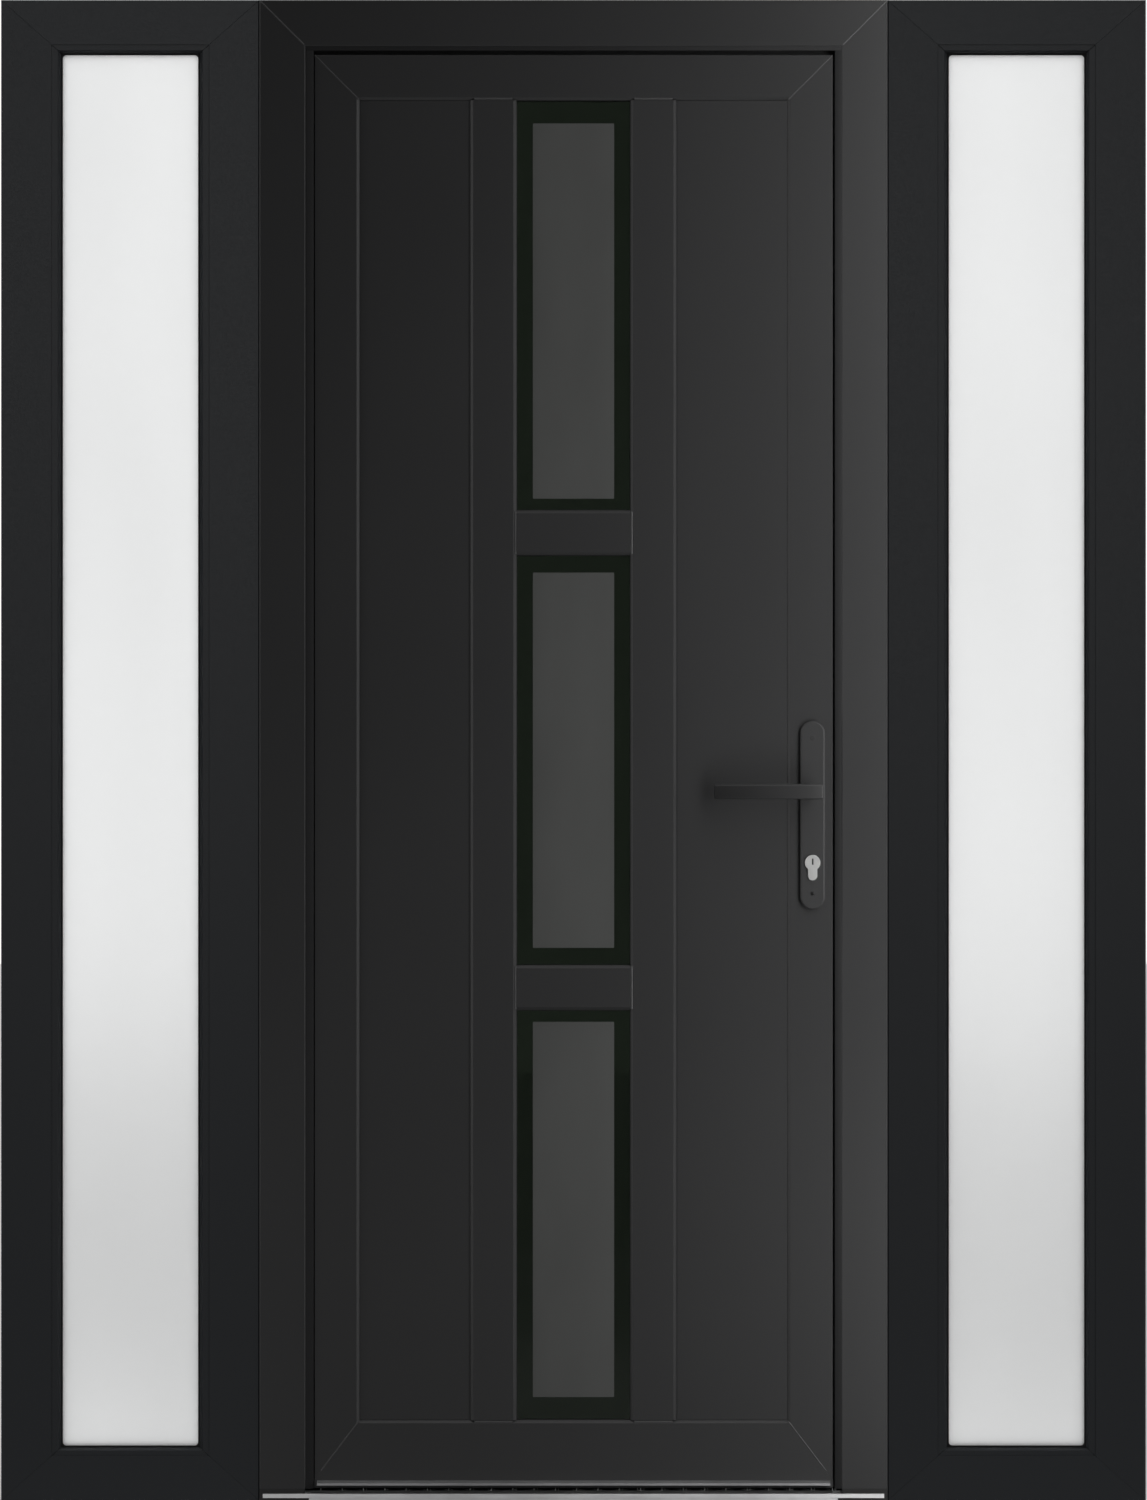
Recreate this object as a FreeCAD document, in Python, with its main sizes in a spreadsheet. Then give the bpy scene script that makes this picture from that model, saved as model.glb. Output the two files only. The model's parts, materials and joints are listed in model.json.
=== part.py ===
import FreeCAD, Part
import math
import os
import re
import Sketcher

# An aluminium entrance door between two fixed sidelights, seen from outside along +Y.
# X runs to the right, Y from the outside to the inside, Z up from the underside.
# Every profile is drawn as (inwards from its outer edge, back from its outside face).

SIZES = {
    # overall
    "frame_height": 2150,
    "door_width": 900,
    "sidelight_width": 370,
    "frame_depth": 70,
    "moving_clearance": 5,
    "seal_thickness": 3,
    "seal_room": 5.5,
    # door frame
    "frame_face": 65,
    "frame_edge": 1.5,
    "lip_wall": 2,
    "lip_reach": 7.5,
    "lip_depth": 2,
    "lip_thickness": 20,
    "lip_draft": 2.5,
    "rebate_wall": 54.5,
    "groove_depth": 6,
    "groove_width": 20,
    "tongue_clearance": 0.3,
    # leaf
    "leaf_gap": 6,
    "leaf_setback": 3,
    "leaf_edge": 1,
    "rebate_clearance": 12,
    "leaf_flange": 8,
    "stile_face": 65,
    "leaf_lip": 9,
    "leaf_lip_bevel": 4,
    "rebate_cover": 20,
    "leaf_bottom": 18.6,
    "bottom_rail_height": 96.6,
    "mitre_foot": 11.5,
    "lite_width": 163.4,
    "mullion_width": 66,
    "transom_width": 64,
    # glass, panels and inside beads
    "pane_thickness": 6,
    "cavity": 16,
    "spacer_width": 8,
    "glass_edge_room": 5,
    "gasket_width": 12,
    "gasket_sight": 1,
    "panel_recess": 4,
    "panel_gap": 0.5,
    "bead_bevel": 3,
    "bead_gap": 0.3,
    # sidelights
    "sidelight_setback": 5,
    "side_stile_face": 72,
    "side_rail_face": 64,
    "side_bead_width": 13,
    "side_bead_setback": 2,
    "side_bead_thickness": 11,
    "side_bead_slope": 4,
    "side_glass_cover": 9,
    "side_gasket_sight": 3,
    "side_gasket_corner": 5,
    "fixing_radius": 3.75,
    "outer_fixing_spacing": 1700,
    "inner_fixing_spacing": 560,
    # threshold
    "end_cap_wall": 5,
    "threshold_base_height": 4,
    "threshold_base_setback": 1.5,
    "threshold_height": 10.6,
    "threshold_nose": 8,
    "threshold_nose_height": 10,
    "threshold_rib_height": 2.8,
    "threshold_rib_width": 6,
    "threshold_rib_place": 24,
    "threshold_rib_lead": 2,
    "threshold_rib_fall": 1,
    "jamb_foot": 17.5,
    # drip bar and bottom brush
    "drip_bottom": 22.3,
    "drip_height": 6.8,
    "drip_reach": 12,
    "drip_nose": 3,
    "drip_inset": 4,
    "brush_width": 8,
    "brush_drop": 2.8,
    "brush_place": 50,
    "brush_end_room": 1,
    # hinges
    "hinge_bottom_room": 231,
    "hinge_top_room": 220,
    "hinge_radius": 10,
    "hinge_pin_radius": 5,
    "hinge_pin_play": 0.05,
    "hinge_cap_radius": 8,
    "hinge_cap_height": 2.5,
    "hinge_stand_off": 15.2,
    "knuckle_height": 43,
    "knuckle_gap": 0.5,
    "hinge_plate_thickness": 5,
    "hinge_plate_width": 28,
    "hinge_plate_room": 12,
    "hinge_arm_room": 4,
    "hinge_arm_rise": 10,
    # lock and handles
    "handle_backset": 29,
    "handle_height": 1016,
    "plate_width": 35,
    "plate_thickness": 8,
    "plate_above": 101,
    "plate_below": 169,
    "plate_edge": 2,
    "neck_radius": 9,
    "neck_play": 0.05,
    "neck_end": 0.5,
    "lever_stand_off": 50,
    "lever_height": 22,
    "lever_thickness": 11,
    "lever_reach": 142,
    "lever_heel": 15,
    "lever_straight": 10,
    "lever_bow": 260,
    "lever_edge": 2.5,
    "spindle_side": 8,
    "spindle_socket": 24,
    "spindle_hole_radius": 7,
    "cylinder_drop": 102,
    "cylinder_radius": 11,
    "cylinder_tail_width": 13,
    "cylinder_tail_drop": 18.5,
    "cylinder_proud": 3,
    "cylinder_room": 0.3,
    "plug_radius": 6.5,
    "plug_play": 0.05,
    "plug_length": 30,
    "plug_end_room": 0.3,
    "keyway_width": 2.4,
    "keyway_height": 9,
    "keyway_rise": 1.5,
    "keyway_depth": 22,
    "faceplate_width": 24,
    "faceplate_thickness": 3,
    "faceplate_above": 53,
    "faceplate_below": 34,
    "bolt_proud": 3,
    "latch_rise": 44,
    "latch_tall": 34,
    "deadbolt_tall": 40,
    "bolt_width": 14,
    "bolt_gap": 2,
    "bolt_room": 0.3,
    "strike_room": 0.6,
    "strike_thickness": 3,
    "strike_margin": 12,
}

doc = FreeCAD.newDocument("door_with_sidelights")
sheet = doc.addObject("Spreadsheet::Sheet", "sizes")
for row, (alias, number) in enumerate(SIZES.items(), start=1):
    sheet.set(f"A{row}", alias.replace("_", " "))
    sheet.set(f"B{row}", str(number))
    sheet.setAlias(f"B{row}", alias)
doc.recompute()

sub_parts = []
CLOSE = 0.001
Y_AXIS = FreeCAD.Vector(0, 1, 0)
X_AXIS = FreeCAD.Vector(1, 0, 0)


def formula(text):
    """Write a formula of the sheet's words as other objects need it."""
    return re.sub(r"[a-z]\w*", lambda word: "sizes." + word.group(), str(text))


def number_of(text):
    return float(sheet.evalExpression(str(text)))


def tie(thing, path, text):
    thing.setExpression(path, formula(text))


def place(thing, x="0", y="0", z="0", turn=0, about=Y_AXIS):
    thing.Placement.Rotation = FreeCAD.Rotation(about, turn)
    for axis, text in zip("xyz", (x, y, z)):
        tie(thing, f"Placement.Base.{axis}", text)
    return thing


def keep(thing, name):
    """Note a finished sub-part under the name of its node."""
    thing.Label = name
    sub_parts.append(thing)
    return thing


# Sketches

def new_sketch(body, plane, away="0"):
    sketch = body.newObject("Sketcher::SketchObject", "sketch")
    origin_plane = next(f for f in body.Origin.OriginFeatures if f.Role == plane)
    sketch.AttachmentSupport = (origin_plane, [""])
    sketch.MapMode = "FlatFace"
    if away != "0":
        tie(sketch, "AttachmentOffset.Base.z", away)
    return sketch


def bind(sketch, kind, *where, size):
    index = sketch.addConstraint(Sketcher.Constraint(kind, *where, number_of(size)))
    sketch.setExpression(f"Constraints[{index}]", formula(size))


def hold_point(sketch, curve, point, x, y):
    bind(sketch, "DistanceX", -1, 1, curve, point, size=x)
    bind(sketch, "DistanceY", -1, 1, curve, point, size=y)


def draw_outline(sketch, corners):
    """Draw a closed outline whose every corner is held by two formulas."""
    first = sketch.GeometryCount
    points = [FreeCAD.Vector(number_of(x), number_of(y), 0) for x, y in corners]
    for start, end in zip(points, points[1:] + points[:1]):
        sketch.addGeometry(Part.LineSegment(start, end), False)
    for i in range(len(points)):
        after = first + (i + 1) % len(points)
        sketch.addConstraint(Sketcher.Constraint("Coincident", first + i, 2, after, 1))
    for i, (x, y) in enumerate(corners):
        hold_point(sketch, first + i, 1, x, y)


def draw_circle(sketch, x, y, radius):
    centre = FreeCAD.Vector(number_of(x), number_of(y), 0)
    circle = Part.Circle(centre, FreeCAD.Vector(0, 0, 1), number_of(radius))
    index = sketch.addGeometry(circle, False)
    hold_point(sketch, index, 3, x, y)
    bind(sketch, "Radius", index, size=radius)


def draw_slot(sketch, x, low, high, radius):
    """An upright slot with round ends that reach from low to high."""
    round_end = number_of(radius)
    middle = number_of(x)
    bottom_centre = FreeCAD.Vector(middle, number_of(low) + round_end, 0)
    top_centre = FreeCAD.Vector(middle, number_of(high) - round_end, 0)
    aside = FreeCAD.Vector(round_end, 0, 0)
    up = FreeCAD.Vector(0, 0, 1)
    bottom = sketch.addGeometry(
        Part.ArcOfCircle(Part.Circle(bottom_centre, up, round_end), math.pi, 2 * math.pi), False)
    right = sketch.addGeometry(
        Part.LineSegment(bottom_centre + aside, top_centre + aside), False)
    top = sketch.addGeometry(
        Part.ArcOfCircle(Part.Circle(top_centre, up, round_end), 0, math.pi), False)
    left = sketch.addGeometry(
        Part.LineSegment(top_centre - aside, bottom_centre - aside), False)
    for one, other in ((bottom, right), (right, top), (top, left), (left, bottom)):
        sketch.addConstraint(Sketcher.Constraint("Tangent", one, 2, other, 1))
    hold_point(sketch, bottom, 3, x, f"{low} + {radius}")
    hold_point(sketch, top, 3, x, f"{high} - {radius}")
    bind(sketch, "Radius", bottom, size=radius)
    bind(sketch, "Radius", top, size=radius)


def rectangle(left, right, low, high):
    return [(left, low), (right, low), (right, high), (left, high)]


def bevelled_rectangle(left, right, low, high, edge):
    return [(f"{left} + {edge}", low), (f"{right} - {edge}", low),
            (right, f"{low} + {edge}"), (right, f"{high} - {edge}"),
            (f"{right} - {edge}", high), (f"{left} + {edge}", high),
            (left, f"{high} - {edge}"), (left, f"{low} + {edge}")]


# Features of a body

def new_body(name):
    return doc.addObject("PartDesign::Body", name)


def pad(body, sketch, length, midplane=False, reverse=False):
    feature = body.newObject("PartDesign::Pad", "pad")
    feature.Profile = sketch
    feature.Midplane = midplane
    feature.Reversed = reverse
    tie(feature, "Length", length)
    return feature


def cut_through(body, sketch):
    feature = body.newObject("PartDesign::Pocket", "cut")
    feature.Profile = sketch
    feature.Type = "ThroughAll"
    feature.Midplane = True
    return feature


def cut_to(body, sketch, length, reverse=False):
    feature = body.newObject("PartDesign::Pocket", "recess")
    feature.Profile = sketch
    feature.Reversed = reverse
    tie(feature, "Length", length)
    return feature


def edge_names(feature, chosen):
    return [f"Edge{i}" for i, edge in enumerate(feature.Shape.Edges, start=1) if chosen(edge)]


def bevel_edges(body, feature, size, chosen):
    """Bevel those edges of a recomputed feature that are chosen."""
    chamfer = body.newObject("PartDesign::Chamfer", "bevel")
    chamfer.Base = (feature, edge_names(feature, chosen))
    tie(chamfer, "Size", size)


def round_inner_corners(body, radius):
    """Round the corners of the opening in a flat ring."""
    doc.recompute()
    ring_pad = body.Tip
    box = ring_pad.Shape.BoundBox
    fillet = body.newObject("PartDesign::Fillet", "rounded")
    fillet.Base = (ring_pad, edge_names(
        ring_pad, lambda edge: edge.BoundBox.YLength > CLOSE
        and box.XMin + CLOSE < edge.BoundBox.XMin < box.XMax - CLOSE))
    tie(fillet, "Radius", radius)


def flat_piece(name, outlines, y, thickness):
    """A piece of one thickness, drawn in elevation, whose outside face is at y."""
    body = new_body(name)
    sketch = new_sketch(body, "XZ_Plane")
    for corners in outlines:
        draw_outline(sketch, corners)
    pad(body, sketch, thickness, reverse=True)
    return place(body, y=y)


def block(x, y, z):
    """A block between two formulas along each axis."""
    solid = doc.addObject("Part::Box", "block")
    for side, (low, high) in zip(("Length", "Width", "Height"), (x, y, z)):
        tie(solid, side, f"({high}) - ({low})")
    return place(solid, x[0], y[0], z[0])


def rod(radius, x, z, near, far):
    """A round rod that runs back from near to far."""
    solid = doc.addObject("Part::Cylinder", "rod")
    tie(solid, "Radius", radius)
    tie(solid, "Height", f"({far}) - ({near})")
    return place(solid, x, near, z, -90, X_AXIS)


def fused(pieces):
    solid = doc.addObject("Part::MultiFuse", "fused")
    solid.Shapes = pieces
    return solid


def less(base, tool):
    solid = doc.addObject("Part::Cut", "less")
    solid.Base = base
    solid.Tool = tool
    return solid


def together(name, pieces):
    """Hold like pieces that don't touch under one name."""
    group = doc.addObject("Part::Compound", name)
    group.Links = pieces
    return keep(group, name)


# Bars of one profile, run along the body's own Z

MITRE_REACH = 400


def bar(name, profile, length, cuts=()):
    body = new_body(name)
    sketch = new_sketch(body, "XY_Plane")
    draw_outline(sketch, profile)
    pad(body, sketch, length)
    for plane, corners in cuts:
        outline = new_sketch(body, plane)
        draw_outline(outline, corners)
        cut_through(body, outline)
    return body


def start_mitre(slope="1", shift="0"):
    """Takes all below the line z = slope * x + shift off the start of a bar."""
    low = f"-{MITRE_REACH} * {slope} + {shift}"
    high = f"{MITRE_REACH} * {slope} + {shift}"
    return ("XZ_Plane", [(f"-{MITRE_REACH}", low), (f"{MITRE_REACH}", high),
                         (f"{MITRE_REACH}", low)])


def end_mitre(length, slope="1", shift="0"):
    plane, corners = start_mitre(slope, shift)
    return (plane, [(x, f"{length} - ({z})") for x, z in corners])


# Where the main lines of the door lie

half_door = "(door_width / 2)"
half_width = f"({half_door} + sidelight_width)"
nose = "(frame_face + lip_reach + leaf_gap)"
flange = "(rebate_wall + leaf_gap)"
shoulder = "(rebate_wall + rebate_clearance)"
shoulder_front = "(lip_thickness + seal_thickness + moving_clearance)"
face_y = "(-frame_depth / 2)"
leaf_half = f"({half_door} - {nose})"
flange_half = f"({half_door} - {flange})"
flange_top = f"(frame_height - {flange})"
stile_inner = f"({leaf_half} - stile_face)"
rail_upper = f"(frame_height - {nose} - stile_face)"
rail_lower = "(leaf_bottom + bottom_rail_height)"
lite_half = "(lite_width / 2)"
mullion_outer = f"({lite_half} + mullion_width)"
lite_height = f"(({rail_upper} - {rail_lower} - 2 * transom_width) / 3)"
lip_back = "(leaf_setback + leaf_lip)"
glass_front = f"({lip_back} + seal_thickness)"
unit_thickness = "(2 * pane_thickness + cavity)"
glass_back = f"({glass_front} + {unit_thickness})"
bead_front = f"({glass_back} + seal_thickness)"
glass_cover = "(rebate_cover - glass_edge_room)"
handle_x = f"({leaf_half} - handle_backset)"
cylinder_z = "(handle_height - cylinder_drop)"
latch_z = "(handle_height + latch_rise)"
faceplate_low = f"({cylinder_z} - deadbolt_tall / 2 - faceplate_below)"
faceplate_high = f"({latch_z} + latch_tall / 2 + faceplate_above)"
bolt_line = f"(({shoulder_front} + frame_depth - leaf_flange) / 2)"
leaf_edge_x = f"({half_door} - {shoulder})"
bolt_start = f"({handle_x} + cylinder_radius + bolt_gap)"
bolts_at = ((latch_z, "latch_tall"), (cylinder_z, "deadbolt_tall"))


def behind(back):
    """The y of what lies this far behind the door frame's outside face."""
    return f"({face_y} + {back})"


def grown(opening, by):
    left, right, low, high = opening
    return (f"({left} - {by})", f"({right} + {by})", f"({low} - {by})", f"({high} + {by})")


def ring(name, opening, sight, width, y, thickness):
    """A flat ring that shows by sight inside an opening."""
    outlines = [rectangle(*grown(opening, f"({width} - {sight})")),
                rectangle(*grown(opening, f"(-{sight})"))]
    return flat_piece(name, outlines, y, thickness)


def panes(opening, cover, y):
    """The outside and inside sheets of an insulating glass unit."""
    left, right, low, high = grown(opening, cover)
    sheets = []
    for back in ("0", "(pane_thickness + cavity)"):
        front = f"({y} + {back})"
        sheets.append(block((left, right), (front, f"{front} + pane_thickness"), (low, high)))
    return sheets


# Door frame

def frame_profile():
    groove_near = "frame_depth / 2 - groove_width / 2"
    groove_far = "frame_depth / 2 + groove_width / 2"
    return [
        ("frame_edge", "0"),
        ("frame_face", "0"),
        ("frame_face + lip_wall", "lip_depth"),
        ("frame_face + lip_reach", "lip_depth"),
        ("frame_face + lip_reach - lip_draft", "lip_thickness"),
        ("rebate_wall", "lip_thickness"),
        ("rebate_wall", "frame_depth"),
        ("0", "frame_depth"),
        ("0", groove_far),
        ("groove_depth", groove_far),
        ("groove_depth", groove_near),
        ("0", groove_near),
        ("0", "frame_edge"),
    ]


def door_frame():
    length = "(frame_height - jamb_foot)"
    hinge_jamb = bar("hinge_jamb", frame_profile(), length, [end_mitre(length)])
    keep(place(hinge_jamb, f"-{half_door}", face_y, "jamb_foot"), "hinge_jamb")
    lock_jamb = bar("lock_jamb", frame_profile(), length, [start_mitre()])
    keep(place(lock_jamb, half_door, face_y, "frame_height", 180), "lock_jamb")
    head = bar("frame_head", frame_profile(), "door_width",
               [start_mitre(), end_mitre("door_width")])
    keep(place(head, f"-{half_door}", face_y, "frame_height", 90), "frame_head")


def coupling_tongues():
    """Strips that lie in the facing grooves of the door frame and the sidelights."""
    reach = "(groove_depth - tongue_clearance)"
    half = "(groove_width / 2 - tongue_clearance)"
    strips = []
    for middle in (f"(-{half_door})", half_door):
        strips.append(block((f"{middle} - {reach}", f"{middle} + {reach}"),
                            (f"-{half}", half),
                            ("jamb_foot", "(frame_height - groove_depth)")))
    together("coupling_tongues", strips)


def frame_seal():
    """One rubber strip up the hinge side, over the head and down the lock side."""
    near = "(frame_face + lip_reach - lip_draft)"
    far = "(rebate_wall + seal_room)"
    outline = [
        (f"{far} - {half_door}", "jamb_foot"),
        (f"{far} - {half_door}", f"frame_height - {far}"),
        (f"{half_door} - {far}", f"frame_height - {far}"),
        (f"{half_door} - {far}", "jamb_foot"),
        (f"{half_door} - {near}", "jamb_foot"),
        (f"{half_door} - {near}", f"frame_height - {near}"),
        (f"{near} - {half_door}", f"frame_height - {near}"),
        (f"{near} - {half_door}", "jamb_foot"),
    ]
    keep(flat_piece("frame_seal", [outline], behind("lip_thickness"), "seal_thickness"),
         "frame_seal")


def threshold():
    """A low aluminium sill plate with a sloped nose and a weather rib."""
    body = new_body("threshold")
    plate = new_sketch(body, "YZ_Plane")
    draw_outline(plate, [
        ("0", "threshold_base_height"),
        ("frame_depth", "threshold_base_height"),
        ("frame_depth", "threshold_height"),
        ("threshold_nose", "threshold_height"),
        ("0", "threshold_nose_height"),
    ])
    pad(body, plate, f"2 * ({half_door} - end_cap_wall)", midplane=True)
    base = new_sketch(body, "YZ_Plane")
    draw_outline(base, rectangle("threshold_base_setback", "frame_depth",
                                 "0", "threshold_base_height"))
    pad(body, base, f"2 * ({half_door} - frame_face - groove_depth)", midplane=True)
    rib = new_sketch(body, "YZ_Plane")
    rib_end = "(threshold_rib_place + threshold_rib_width)"
    draw_outline(rib, [
        ("threshold_rib_place", "threshold_height"),
        (rib_end, "threshold_height"),
        (f"{rib_end} - threshold_rib_fall", "threshold_height + threshold_rib_height"),
        ("threshold_rib_place + threshold_rib_lead",
         "threshold_height + threshold_rib_height"),
    ])
    pad(body, rib, f"2 * ({half_door} - frame_face)", midplane=True)
    keep(place(body, y=face_y), "threshold")


def threshold_end_caps():
    """Plastic caps that wrap the threshold's ends and carry the jambs."""
    lower_end = "(frame_face + groove_depth)"
    left = new_body("threshold_end_cap")
    clip = new_sketch(left, "XZ_Plane")
    draw_outline(clip, [
        ("0", "0"),
        (lower_end, "0"),
        (lower_end, "threshold_base_height"),
        ("end_cap_wall", "threshold_base_height"),
        ("end_cap_wall", "threshold_height"),
        ("rebate_wall", "threshold_height"),
        ("rebate_wall", "jamb_foot"),
        ("0", "jamb_foot"),
    ])
    pad(left, clip, "frame_depth", reverse=True)
    front = new_sketch(left, "XZ_Plane")
    draw_outline(front, rectangle("rebate_wall", "frame_face",
                                  "threshold_height", "jamb_foot"))
    pad(left, front, "lip_thickness", reverse=True)
    place(left, f"-{half_door}", face_y)
    right = doc.addObject("Part::Mirroring", "threshold_end_cap_right")
    right.Source = left
    right.Normal = X_AXIS
    together("threshold_end_caps", [left, right])


# Leaf

def leaf_profile():
    nose_line = f"({nose} - {flange})"
    shoulder_line = f"({shoulder} - {flange})"
    inner = f"({nose_line} + stile_face)"
    return [
        (f"{nose_line} + leaf_edge", "leaf_setback"),
        (f"{inner} - leaf_lip_bevel", "leaf_setback"),
        (inner, "leaf_setback + leaf_lip_bevel"),
        (inner, lip_back),
        (f"{inner} - rebate_cover", lip_back),
        (f"{inner} - rebate_cover", "frame_depth"),
        ("0", "frame_depth"),
        ("0", "frame_depth - leaf_flange"),
        (shoulder_line, "frame_depth - leaf_flange"),
        (shoulder_line, shoulder_front),
        (nose_line, shoulder_front),
        (nose_line, "leaf_setback + leaf_edge"),
    ]


def bottom_rail_profile():
    inner = "bottom_rail_height"
    return [
        ("leaf_edge", "leaf_setback"),
        (f"{inner} - leaf_lip_bevel", "leaf_setback"),
        (inner, "leaf_setback + leaf_lip_bevel"),
        (inner, lip_back),
        (f"{inner} - rebate_cover", lip_back),
        (f"{inner} - rebate_cover", "frame_depth"),
        ("0", "frame_depth"),
        ("0", "leaf_setback + leaf_edge"),
    ]


foot_slope = "((bottom_rail_height - mitre_foot) / stile_face)"


def stile_foot():
    """Room in a stile's foot for the end of the bottom rail."""
    nose_line = f"({nose} - {flange})"
    return [
        (nose_line, f"-{MITRE_REACH}"),
        (nose_line, "mitre_foot"),
        (f"{nose_line} + {MITRE_REACH}", f"mitre_foot + {MITRE_REACH} * {foot_slope}"),
        (f"{nose_line} + {MITRE_REACH}", f"-{MITRE_REACH}"),
    ]


def rail_end():
    """What the stile takes from the end of the bottom rail."""
    return [
        ("mitre_foot", f"-{MITRE_REACH}"),
        ("mitre_foot", "0"),
        (f"mitre_foot + {MITRE_REACH} * {foot_slope}", f"{MITRE_REACH}"),
        (f"mitre_foot + {MITRE_REACH} * {foot_slope}", f"-{MITRE_REACH}"),
    ]


def from_end(length, corners):
    return [(x, f"{length} - ({z})") for x, z in corners]


def leaf_stiles():
    length = f"({flange_top} - leaf_bottom)"
    hinge_stile = bar("leaf_hinge_stile", leaf_profile(), length,
                      [end_mitre(length), ("XZ_Plane", stile_foot())])
    keep(place(hinge_stile, f"-{flange_half}", face_y, "leaf_bottom"), "leaf_hinge_stile")
    lock_stile = bar("leaf_lock_stile", leaf_profile(), length,
                     [start_mitre(), ("XZ_Plane", from_end(length, stile_foot()))])
    cut_for_lock(lock_stile)
    keep(place(lock_stile, flange_half, face_y, flange_top, 180), "leaf_lock_stile")


def cut_for_lock(stile):
    """Bores for the spindle and the cylinder, and recesses for the faceplate and bolts."""
    across = f"({flange_half} - {handle_x})"
    bore = new_sketch(stile, "XZ_Plane")
    draw_circle(bore, across, f"({flange_top} - handle_height)", "spindle_hole_radius")
    draw_circle(bore, across, f"({flange_top} - {cylinder_z})",
                "(cylinder_radius + cylinder_room)")
    cut_through(stile, bore)
    tail = new_sketch(stile, "XZ_Plane")
    centre = f"({flange_top} - {cylinder_z})"
    radius = "(cylinder_tail_width / 2 + cylinder_room)"
    draw_slot(tail, across, centre, f"({centre} + cylinder_tail_drop + {radius})", radius)
    cut_through(stile, tail)
    edge = f"({shoulder} - {flange})"
    recess = new_sketch(stile, "YZ_Plane", edge)
    draw_outline(recess, rectangle(
        f"({bolt_line} - faceplate_width / 2)", f"({bolt_line} + faceplate_width / 2)",
        f"({flange_top} - {faceplate_high})", f"({flange_top} - {faceplate_low})"))
    cut_to(stile, recess, "faceplate_thickness", reverse=True)
    for height, tall in bolts_at:
        hole = new_sketch(stile, "YZ_Plane", edge)
        draw_outline(hole, rectangle(
            f"({bolt_line} - bolt_width / 2 - bolt_room)",
            f"({bolt_line} + bolt_width / 2 + bolt_room)",
            f"({flange_top} - {height} - {tall} / 2 - bolt_room)",
            f"({flange_top} - {height} + {tall} / 2 + bolt_room)"))
        cut_to(stile, hole, f"{leaf_edge_x} - {bolt_start}", reverse=True)


def leaf_rails():
    top_length = f"(2 * {flange_half})"
    top_rail = bar("leaf_top_rail", leaf_profile(), top_length,
                   [start_mitre(), end_mitre(top_length)])
    keep(place(top_rail, f"-{flange_half}", face_y, flange_top, 90), "leaf_top_rail")
    bottom_length = f"(2 * {leaf_half})"
    bottom_rail = bar("leaf_bottom_rail", bottom_rail_profile(), bottom_length,
                      [("XZ_Plane", rail_end()),
                       ("XZ_Plane", from_end(bottom_length, rail_end()))])
    keep(place(bottom_rail, leaf_half, face_y, "leaf_bottom", -90), "leaf_bottom_rail")


def divider(name, width, length):
    """A T-shaped bar whose core runs on behind the lips of the bars that it meets."""
    half = f"({width} / 2)"
    core = f"({half} - rebate_cover)"
    profile = [
        (f"leaf_lip_bevel - {half}", "leaf_setback"),
        (f"{half} - leaf_lip_bevel", "leaf_setback"),
        (half, "leaf_setback + leaf_lip_bevel"),
        (half, lip_back),
        (core, lip_back),
        (core, "frame_depth"),
        (f"-{core}", "frame_depth"),
        (f"-{core}", lip_back),
        (f"-{half}", lip_back),
        (f"-{half}", "leaf_setback + leaf_lip_bevel"),
    ]
    start = rectangle(f"-{MITRE_REACH}", lip_back, f"-{MITRE_REACH}", "rebate_cover")
    return bar(name, profile, length,
               [("YZ_Plane", start), ("YZ_Plane", from_end(length, start))])


def dividers():
    mullion_x = f"({lite_half} + mullion_width / 2)"
    height = f"({rail_upper} - {rail_lower} + 2 * rebate_cover)"
    for name, x in (("left_mullion", f"-{mullion_x}"), ("right_mullion", mullion_x)):
        mullion = divider(name, "mullion_width", height)
        keep(place(mullion, x, face_y, f"{rail_lower} - rebate_cover"), name)
    transoms = []
    for step in (1, 2):
        z = f"({rail_lower} + {step} * {lite_height} + ({step} - 0.5) * transom_width)"
        transom = divider("transom", "transom_width", "(lite_width + 2 * rebate_cover)")
        transoms.append(place(transom, f"-{lite_half} - rebate_cover", face_y, z, 90))
    together("transoms", transoms)


def lite_opening(step):
    low = f"({rail_lower} + {step} * ({lite_height} + transom_width))"
    return (f"(-{lite_half})", lite_half, low, f"({low} + {lite_height})")


def panel_opening(left):
    if left:
        return (f"(-{stile_inner})", f"(-{mullion_outer})", rail_lower, rail_upper)
    return (mullion_outer, stile_inner, rail_lower, rail_upper)


lite_names = ("bottom_lite", "middle_lite", "top_lite")
lites = [lite_opening(step) for step in range(3)]
panels = [panel_opening(True), panel_opening(False)]


def side_panels():
    """Insulated panels, each with a raised outside face that stands in its opening."""
    pieces = []
    for opening in panels:
        body = new_body("side_panel")
        core = new_sketch(body, "XZ_Plane")
        draw_outline(core, rectangle(*grown(opening, glass_cover)))
        pad(body, core, unit_thickness, reverse=True)
        face = new_sketch(body, "XZ_Plane")
        draw_outline(face, rectangle(*grown(opening, "(-panel_gap)")))
        pad(body, face, f"{glass_front} - leaf_setback - panel_recess")
        pieces.append(place(body, y=behind(glass_front)))
    together("side_panels", pieces)


def lite_glass():
    for name, opening in zip(lite_names, lites):
        together(f"{name}_glass", panes(opening, glass_cover, behind(glass_front)))


def leaf_seals():
    """Glazing gaskets inside and outside, and the spacers between the panes."""
    pieces = []
    for opening in lites:
        pieces.append(ring("outside_gasket", opening, "gasket_sight", "gasket_width",
                           behind(lip_back), "seal_thickness"))
        pieces.append(ring("spacer", opening, f"(spacer_width - {glass_cover})",
                           "spacer_width", behind(f"({glass_front} + pane_thickness)"),
                           "cavity"))
        pieces.append(ring("inside_gasket", opening, "gasket_sight", "gasket_width",
                           behind(glass_back), "seal_thickness"))
    for opening in panels:
        for back in (lip_back, glass_back):
            pieces.append(ring("panel_gasket", opening, "0", "gasket_width",
                               behind(back), "seal_thickness"))
    together("leaf_seals", pieces)


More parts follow.
